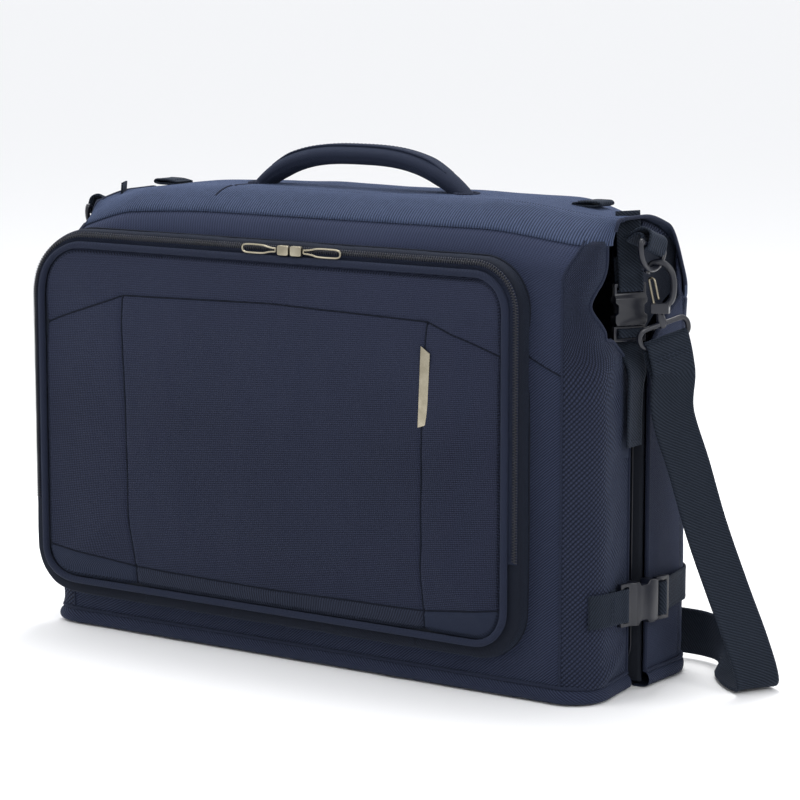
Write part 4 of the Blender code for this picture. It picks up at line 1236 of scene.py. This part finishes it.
def build_lower_straps():
    z = LOWER_MOUTH.z
    matrix = lower_frame()
    for side, name in SIDES:
        front = [Vector((0.2690, -0.1250, z)), Vector((0.2735, -0.1170, z)), Vector((0.2765, -0.1060, z))]
        loop = local_path(matrix, BAR_HAIRPIN)
        controls = front + loop + [Vector((0.2744, -0.1000, z))]
        finish_strap(f"lower_web_front_{name}", controls, [UP] * len(controls), WEB, side, "front_half",
                     [f"lower_strap_front_{name}"])
        corner = (HALF_WIDTH - REAR_CORNER, REAR_Y - REAR_CORNER)
        offset = 0.0036
        around = [Vector((0.205, REAR_Y + offset - 0.0012, z))]
        around += arc_points(corner, REAR_CORNER + offset - 0.0008, 90, 0, 5, z)
        around += [Vector((0.2792, 0.001, z)), Vector((0.2812, -0.009, z))]
        controls = around + local_path(matrix, [(-0.0037, 0.018)] + LADDER_LACING)
        finish_strap(f"lower_web_rear_{name}", controls, [UP] * len(controls), WEB, side, "rear_half",
                     [f"lower_strap_rear_{name}"])
        rows = [[Vector((0.2790 * side, y, z + h)) for h in (-0.011, 0.011)] for y in (-0.1045, -0.1010)]
        stitches(f"lower_web_stitches_{name}", rows, "front_half", 0.0024, 0.0012)
        refine(f"lower_buckle_female_{name}", PLASTIC, bevel=0.0009, segments=3)
        refine(f"lower_buckle_male_{name}", PLASTIC, bevel=0.0005)


def build_upper_straps():
    matrix = upper_frame()
    wide = (matrix.to_3x3() @ Vector((0, 0, 1))).normalized()
    width = WEB * UPPER_SCALE
    for side, name in SIDES:
        loop = local_path(matrix, BAR_HAIRPIN)
        hang = [loop[0] + Vector((-0.0045, 0.001, UPPER_ROOT - loop[0].z)),
                loop[0] + Vector((-0.002, 0, 0.026))]
        controls = hang + loop + [loop[-1] + Vector((-0.002, 0, 0.020))]
        finish_strap(f"upper_web_top_{name}", controls, [wide] * len(controls), width, side, "spine",
                     [f"upper_strap_top_{name}"])
        lacing = local_path(matrix, LADDER_LACING[::-1] + [(-0.0037, 0.019)])
        lower = [Vector((0.2755, -0.0640, 0.272)), Vector((0.2760, -0.0660, 0.252)),
                 Vector((0.2750, -0.0660, 0.207))]
        widths = [wide] * len(lacing) + [Vector((0.2, 1, 0)).normalized()] + [Vector((0, 1, 0))] * 2
        finish_strap(f"upper_web_tail_{name}", lacing + lower, widths, width, side, f"upper_male_{name}",
                     [f"upper_strap_tail_{name}"])
        rows = [[Vector((0.2760 * side, y, z)) for y in (-0.075, -0.057)] for z in (0.212, 0.216)]
        stitches(f"upper_web_stitches_{name}", rows, f"upper_male_{name}", 0.0024, 0.0012)
        refine(f"upper_buckle_female_{name}", PLASTIC, bevel=0.0008, segments=3)
        refine(f"upper_buckle_male_{name}", PLASTIC, bevel=0.0004)


# -------------------------------------------------- shoulder strap, its rings

HOOK_FOOT = Vector((0.2925, -0.0575, 0.3160))
STRAP_TURN = radians(60)
STRAP_ROLL = radians(15)
STRAP_BACK = (0.245, 0.068, 0.0245)
D_RING_BAR = Vector((0.2900, -0.066, 0.3705))
D_RING_TILT = radians(-18)
RING_WIRE = 0.0023


def strap_frame():
    """The frame of the right hook's foot, from which the strap hangs."""
    return Matrix.Translation(HOOK_FOOT) @ Matrix.Rotation(STRAP_TURN, 4, "Z")


def strap_roll(side):
    """The right end of the strap hangs out of level."""
    return Matrix.Rotation(-STRAP_ROLL if side > 0 else 0.0, 4, "Y")


def ring_hairpin(side):
    """The fold of webbing round the strap's ring."""
    reach, bar = 0.0042, -0.0235
    fold = [(0.0, -0.030), (reach, -0.012)]
    fold += [(reach * cos(a), reach * sin(a)) for a in [radians(30 * k) for k in range(7)]]
    fold = [(y, z + bar) for y, z in fold] + [(-reach, bar - 0.012), (-0.0026, bar - 0.026)]
    matrix = strap_frame() @ strap_roll(side)
    return mirror([matrix @ Vector((0, y, z)) for y, z in fold], side)


def strap_right():
    """The fold, the control points and the widths down the bag's right side."""
    across = strap_frame().to_3x3() @ Vector((1, 0, 0))
    rolled = strap_frame().to_3x3() @ (strap_roll(1).to_3x3() @ Vector((1, 0, 0)))
    end, y, z = STRAP_BACK
    hang = [(0.303, -0.052, 0.235), (0.315, -0.045, 0.190), (0.328, -0.038, 0.140), (0.342, -0.027, 0.090),
            (0.355, -0.016, 0.045), (0.3605, -0.009, 0.018), (0.3580, -0.003, 0.0050)]
    turn = [(0.345, 0.006, 0.0030), (0.330, 0.020, 0.0085), (0.312, 0.038, 0.0180), (0.293, 0.055, 0.0235),
            (0.272, 0.0655, z), (end, y, z)]
    widths = [across] * len(hang) + [across + UP * 0.02, across + UP * 0.4, across * 0.7 + UP] + [UP] * 3
    hairpin = ring_hairpin(1)
    points = [Vector(p) for p in hang + turn]
    return hairpin[:-1], hairpin[-1:] + points, [rolled] + widths, rolled


def strap_left():
    """The control points and the widths up the bag's left side, and the fold."""
    across = strap_frame().to_3x3() @ Vector((1, 0, 0))
    across = Vector((-across.x, across.y, 0))
    end, y, z = STRAP_BACK
    climb = [(-end, y, z), (-0.2720, 0.0675, 0.0250), (-0.2900, 0.0580, 0.0420), (-0.3000, 0.0300, 0.1050),
             (-0.3000, -0.0120, 0.1900), (-0.2960, -0.0450, 0.2560)]
    widths = [UP, UP, Vector((0.1, 0.5, 1)), Vector((0, 0.9, 0.45)), Vector((-0.15, 1, 0.4)),
              Vector((-0.5, 1, 0.2)), across]
    hairpin = ring_hairpin(-1)[::-1]
    return [Vector(p) for p in climb] + hairpin[:1], widths, hairpin[1:], across


def build_shoulder_strap():
    fold, points, widths, rolled = strap_right()
    right = smooth_path(points, 12)
    right_wide = smooth_path([w.normalized() for w in widths], 12)
    fold = smooth_path(fold + points[:1], 4)[:-1]
    end, y, z = STRAP_BACK
    back = [Vector((end - 2 * end * k / 60, y, z)) for k in range(1, 60)]
    climb, left_widths, left_fold, across = strap_left()
    left = smooth_path(climb, 12)
    left_wide = smooth_path([w.normalized() for w in left_widths], 12)
    left_fold = smooth_path(climb[-1:] + left_fold, 4)[1:]
    path = fold + right + back + left + left_fold
    wide = [rolled] * len(fold) + right_wide + [UP] * len(back) + left_wide + [across] * len(left_fold)
    piece = strap("shoulder_webbing", path, wide, STRAP_WIDTH, STRAP_THICKNESS, crown=0.0003)
    place(piece, "shoulder_strap",
          ["shoulder_strap_right", "shoulder_strap_back", "shoulder_strap_left"])
    refine("strap_adjuster", PLASTIC, bevel=0.0008, segments=3)
    for side, name in SIDES:
        matrix = strap_frame() @ strap_roll(side)
        for face, offset in (("front", -0.0054), ("back", 0.0054)):
            rows = [mirror([matrix @ Vector((x, offset * share, -0.0235 - drop)) for x in (-0.017, 0.017)],
                           side) for drop, share in ((0.0100, 1.02), (0.0135, 1.0))]
            stitches(f"strap_{face}_stitches_{name}", rows, "shoulder_strap", 0.0028, 0.0014)


def build_rings(side, name):
    """The D-ring under the tab, and the strap's ring with its swivel collar."""
    matrix = Matrix.Translation(D_RING_BAR) @ Matrix.Rotation(D_RING_TILT, 4, "X")
    bow = [(0.0190 * cos(a), -0.0180 * sin(a)) for a in [pi * k / 24 for k in range(25)]]
    loop = bow + [(-0.0185, 0.0012), (-0.0160, 0.0), (0.0160, 0.0), (0.0185, 0.0012)]
    path = even_path(mirror([matrix @ Vector((0, y, z)) for y, z in loop], side), 0.0012, closed=True)
    ring = tube(f"d_ring_wire_{name}", path, RING_WIRE, PLASTIC, closed=True, sides=12)
    place(ring, f"d_ring_{name}", [f"d_ring_{name}"])
    matrix = strap_frame() @ strap_roll(side)
    corners = [(0, -0.0085), (0.0232, -0.0085), (0.0232, -0.0235), (-0.0232, -0.0235), (-0.0232, -0.0085),
               (0, -0.0085)]
    outline = fillet(corners, [0.0068] * 4, 8)[:-1]
    path = even_path(mirror([matrix @ Vector((x, 0, z)) for x, z in outline], side), 0.0012, closed=True)
    ring = tube(f"strap_ring_wire_{name}", path, RING_WIRE, PLASTIC, closed=True, sides=12)
    place(ring, "shoulder_strap", [f"strap_ring_{name}"])
    post = mirror([matrix @ Vector((0, 0, -0.0118 + 0.0128 * k / 16)) for k in range(17)], side)
    collar = tube(f"swivel_collar_{name}", post, lambda t: 0.0026 + 0.0012 * sin(pi * t) ** 0.7, PLASTIC,
                  sides=16)
    place(collar, "shoulder_strap")


def build_gate(side, name):
    """Two sprung wires, side by side, joined at their tips."""
    matrix = Matrix.Translation(HOOK_FOOT) @ Matrix.Rotation(radians(20), 4, "Z")
    run = [(-0.0048, 0.0, 0.0080), (-0.0066, 0.0, 0.0160), (-0.0088, 0.0, 0.0265), (-0.0086, 0.0, 0.0284),
           (-0.0066, -0.0012, 0.0290), (-0.0042, -0.0022, 0.0276), (-0.0030, -0.0022, 0.0230),
           (-0.0006, -0.0022, 0.0120)]
    path = mirror(smooth_path([matrix @ Vector(p) for p in run], 5), side)
    place(tube(f"gate_wire_{name}", path, 0.0009, GOLD), f"gate_{name}", [f"hook_gate_{name}"])


def build_tab(side, name):
    """The webbing that holds the D-ring to the spine."""
    matrix = Matrix.Translation(D_RING_BAR) @ Matrix.Rotation(D_RING_TILT, 4, "X")
    reach = 0.0041
    run = [(-0.0200, 0.0040), (-0.0120, 0.0095), (-0.0045, 0.0130), (reach - 0.0005, 0.0095)]
    run += [(reach * cos(a), reach * sin(a)) for a in [radians(-36 * k) for k in range(6)]]
    run += [(-reach, 0.0070), (-0.0095, 0.0075), (-0.0180, 0.0015)]
    path = mirror(smooth_path([matrix @ Vector((x, 0, z)) for x, z in run], 4), side)
    wide = matrix.to_3x3() @ Vector((0, 1, 0))
    wide = Vector((wide.x * side, wide.y, wide.z))
    piece = strap(f"tab_{name}", path, [wide] * len(path), WEB, WEB_THICKNESS)
    start, end = (0.2740 * side, D_RING_BAR.y, 0.385), (0.2830 * side, D_RING_BAR.y, 0.385)
    place(piece, ("spine", "shoulder_strap", start, end), [f"ring_tab_{name}"])


def build_strap_hardware():
    for side, name in SIDES:
        build_rings(side, name)
        refine(f"snap_hook_{name}", PLASTIC, bevel=0.0010, subdivide=1)
        build_gate(side, name)
        build_tab(side, name)


# -------------------------------------------------------------------- insides

def build_cover(node, body, name):
    """A quilted garment cover with a zip round its edge."""
    low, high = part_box(node)
    middle_y = (low.y + high.y) / 2
    out = -1 if body == "rear_cover" else 1

    def point(u, v):
        x = low.x + (high.x - low.x) * u
        z = low.z + (high.z - low.z) * v
        edge = min(x - low.x, high.x - x, z - low.z, high.z - z)
        quilt = 0.0004 * smoothstep(0.0, 0.03, edge) * (1 + crease(x, 8.0, z, 25.0, 1.0))
        return Vector((x, middle_y + out * (0.0006 + quilt), z))

    piece = sheet(name, point, 120, 60, LINING, thickness=0.0012 * out)
    piece.modifiers["thickness"].offset = 0
    place(piece, body, [node])
    inset = 0.010
    corners = [(low.x + inset, high.z - inset), (low.x + inset, low.z + inset),
               (high.x - inset, low.z + inset), (high.x - inset, high.z - inset)]
    line = [Vector((p[0], middle_y + out * 0.0012, p[1])) for p in fillet(corners, [0.02] * 2)]
    line = even_path(line, 0.0012)
    place(tube(f"{name}_zip", line, 0.0009, ZIP, sides=6), body)


def build_insides():
    build_cover("rear_inner_cover", "rear_cover", "rear_lining_cover")
    build_cover("front_inner_cover", "front_cover", "front_lining_cover")
    refine("rear_stiffener", LINING, bevel=0.0006)
    refine("front_stiffener", LINING, bevel=0.0006)
    refine("hanger_clamp", PLASTIC, bevel=0.0010, segments=3)
    refine("garment_strap", WEBBING, bevel=0.0004)
    refine("garment_strap_buckle", PLASTIC, bevel=0.0006)
    refine("hanging_hook", GOLD, bevel=0, subdivide=1)


# ---------------------------------------------------------------------- stage

def build_stage():
    def floor_point(u, v):
        return Vector(((2 * u - 1) * FLOOR_REACH, (2 * v - 1) * FLOOR_REACH, 0))

    shader = Shader("floor", 0.9, Base_Color=FLOOR_SHADE)
    sheet("floor", floor_point, 1, 1, shader.material)
    world = bpy.data.worlds.new("studio")
    world.use_nodes = True
    background = world.node_tree.nodes["Background"]
    background.inputs["Color"].default_value = SKY_SHADE
    background.inputs["Strength"].default_value = 1.0
    bpy.context.scene.world = world
    bpy.context.scene.view_settings.view_transform = "Standard"
    for light in LIGHTS:
        add_light(*light)


def add_light(name, position, size, power):
    """A square softbox, turned to the bag."""
    data = bpy.data.lights.new(name, "AREA")
    data.size = size
    data.energy = power
    light = bpy.data.objects.new(name, data)
    light.location = position
    light.rotation_mode = "QUATERNION"
    light.rotation_quaternion = (Vector((0, 0, 0.2)) - light.location).to_track_quat("-Z", "Y")
    bpy.context.scene.collection.objects.link(light)


def build_camera():
    back = Vector((sin(AZIMUTH) * cos(ELEVATION), -cos(AZIMUTH) * cos(ELEVATION), sin(ELEVATION)))
    right = Vector((cos(AZIMUTH), sin(AZIMUTH), 0))
    aim = right * AIM_ACROSS + Vector((0, AIM_Y, AIM_HEIGHT))
    data = bpy.data.cameras.new("camera")
    data.lens = LENS
    data.sensor_width = SENSOR
    camera = bpy.data.objects.new("camera", data)
    camera.location = aim + back * DISTANCE
    camera.rotation_mode = "QUATERNION"
    camera.rotation_quaternion = (-back).to_track_quat("-Z", "Y")
    bpy.context.scene.collection.objects.link(camera)
    bpy.context.scene.camera = camera


build_camera()
build_stage()
build_front_panel()
build_gussets()
base_sheet("front_base", FRONT_WALL, FRONT_BACK_Y, FRONT_Y, "front_half", 0.0010)
base_sheet("rear_base", REAR_WALL, REAR_FRONT_Y, REAR_Y, "rear_half", 0.0)
build_inner_floor("front_floor_lining", "front_half", -0.125, FRONT_BACK_Y)
build_inner_floor("rear_floor_lining", "rear_half", REAR_FRONT_Y, 0.035)
build_rear_half()
build_spine()
build_top_loops()
build_handle()
build_pocket()
build_lower_straps()
build_upper_straps()
build_shoulder_strap()
build_strap_hardware()
build_sliders()
build_insides()
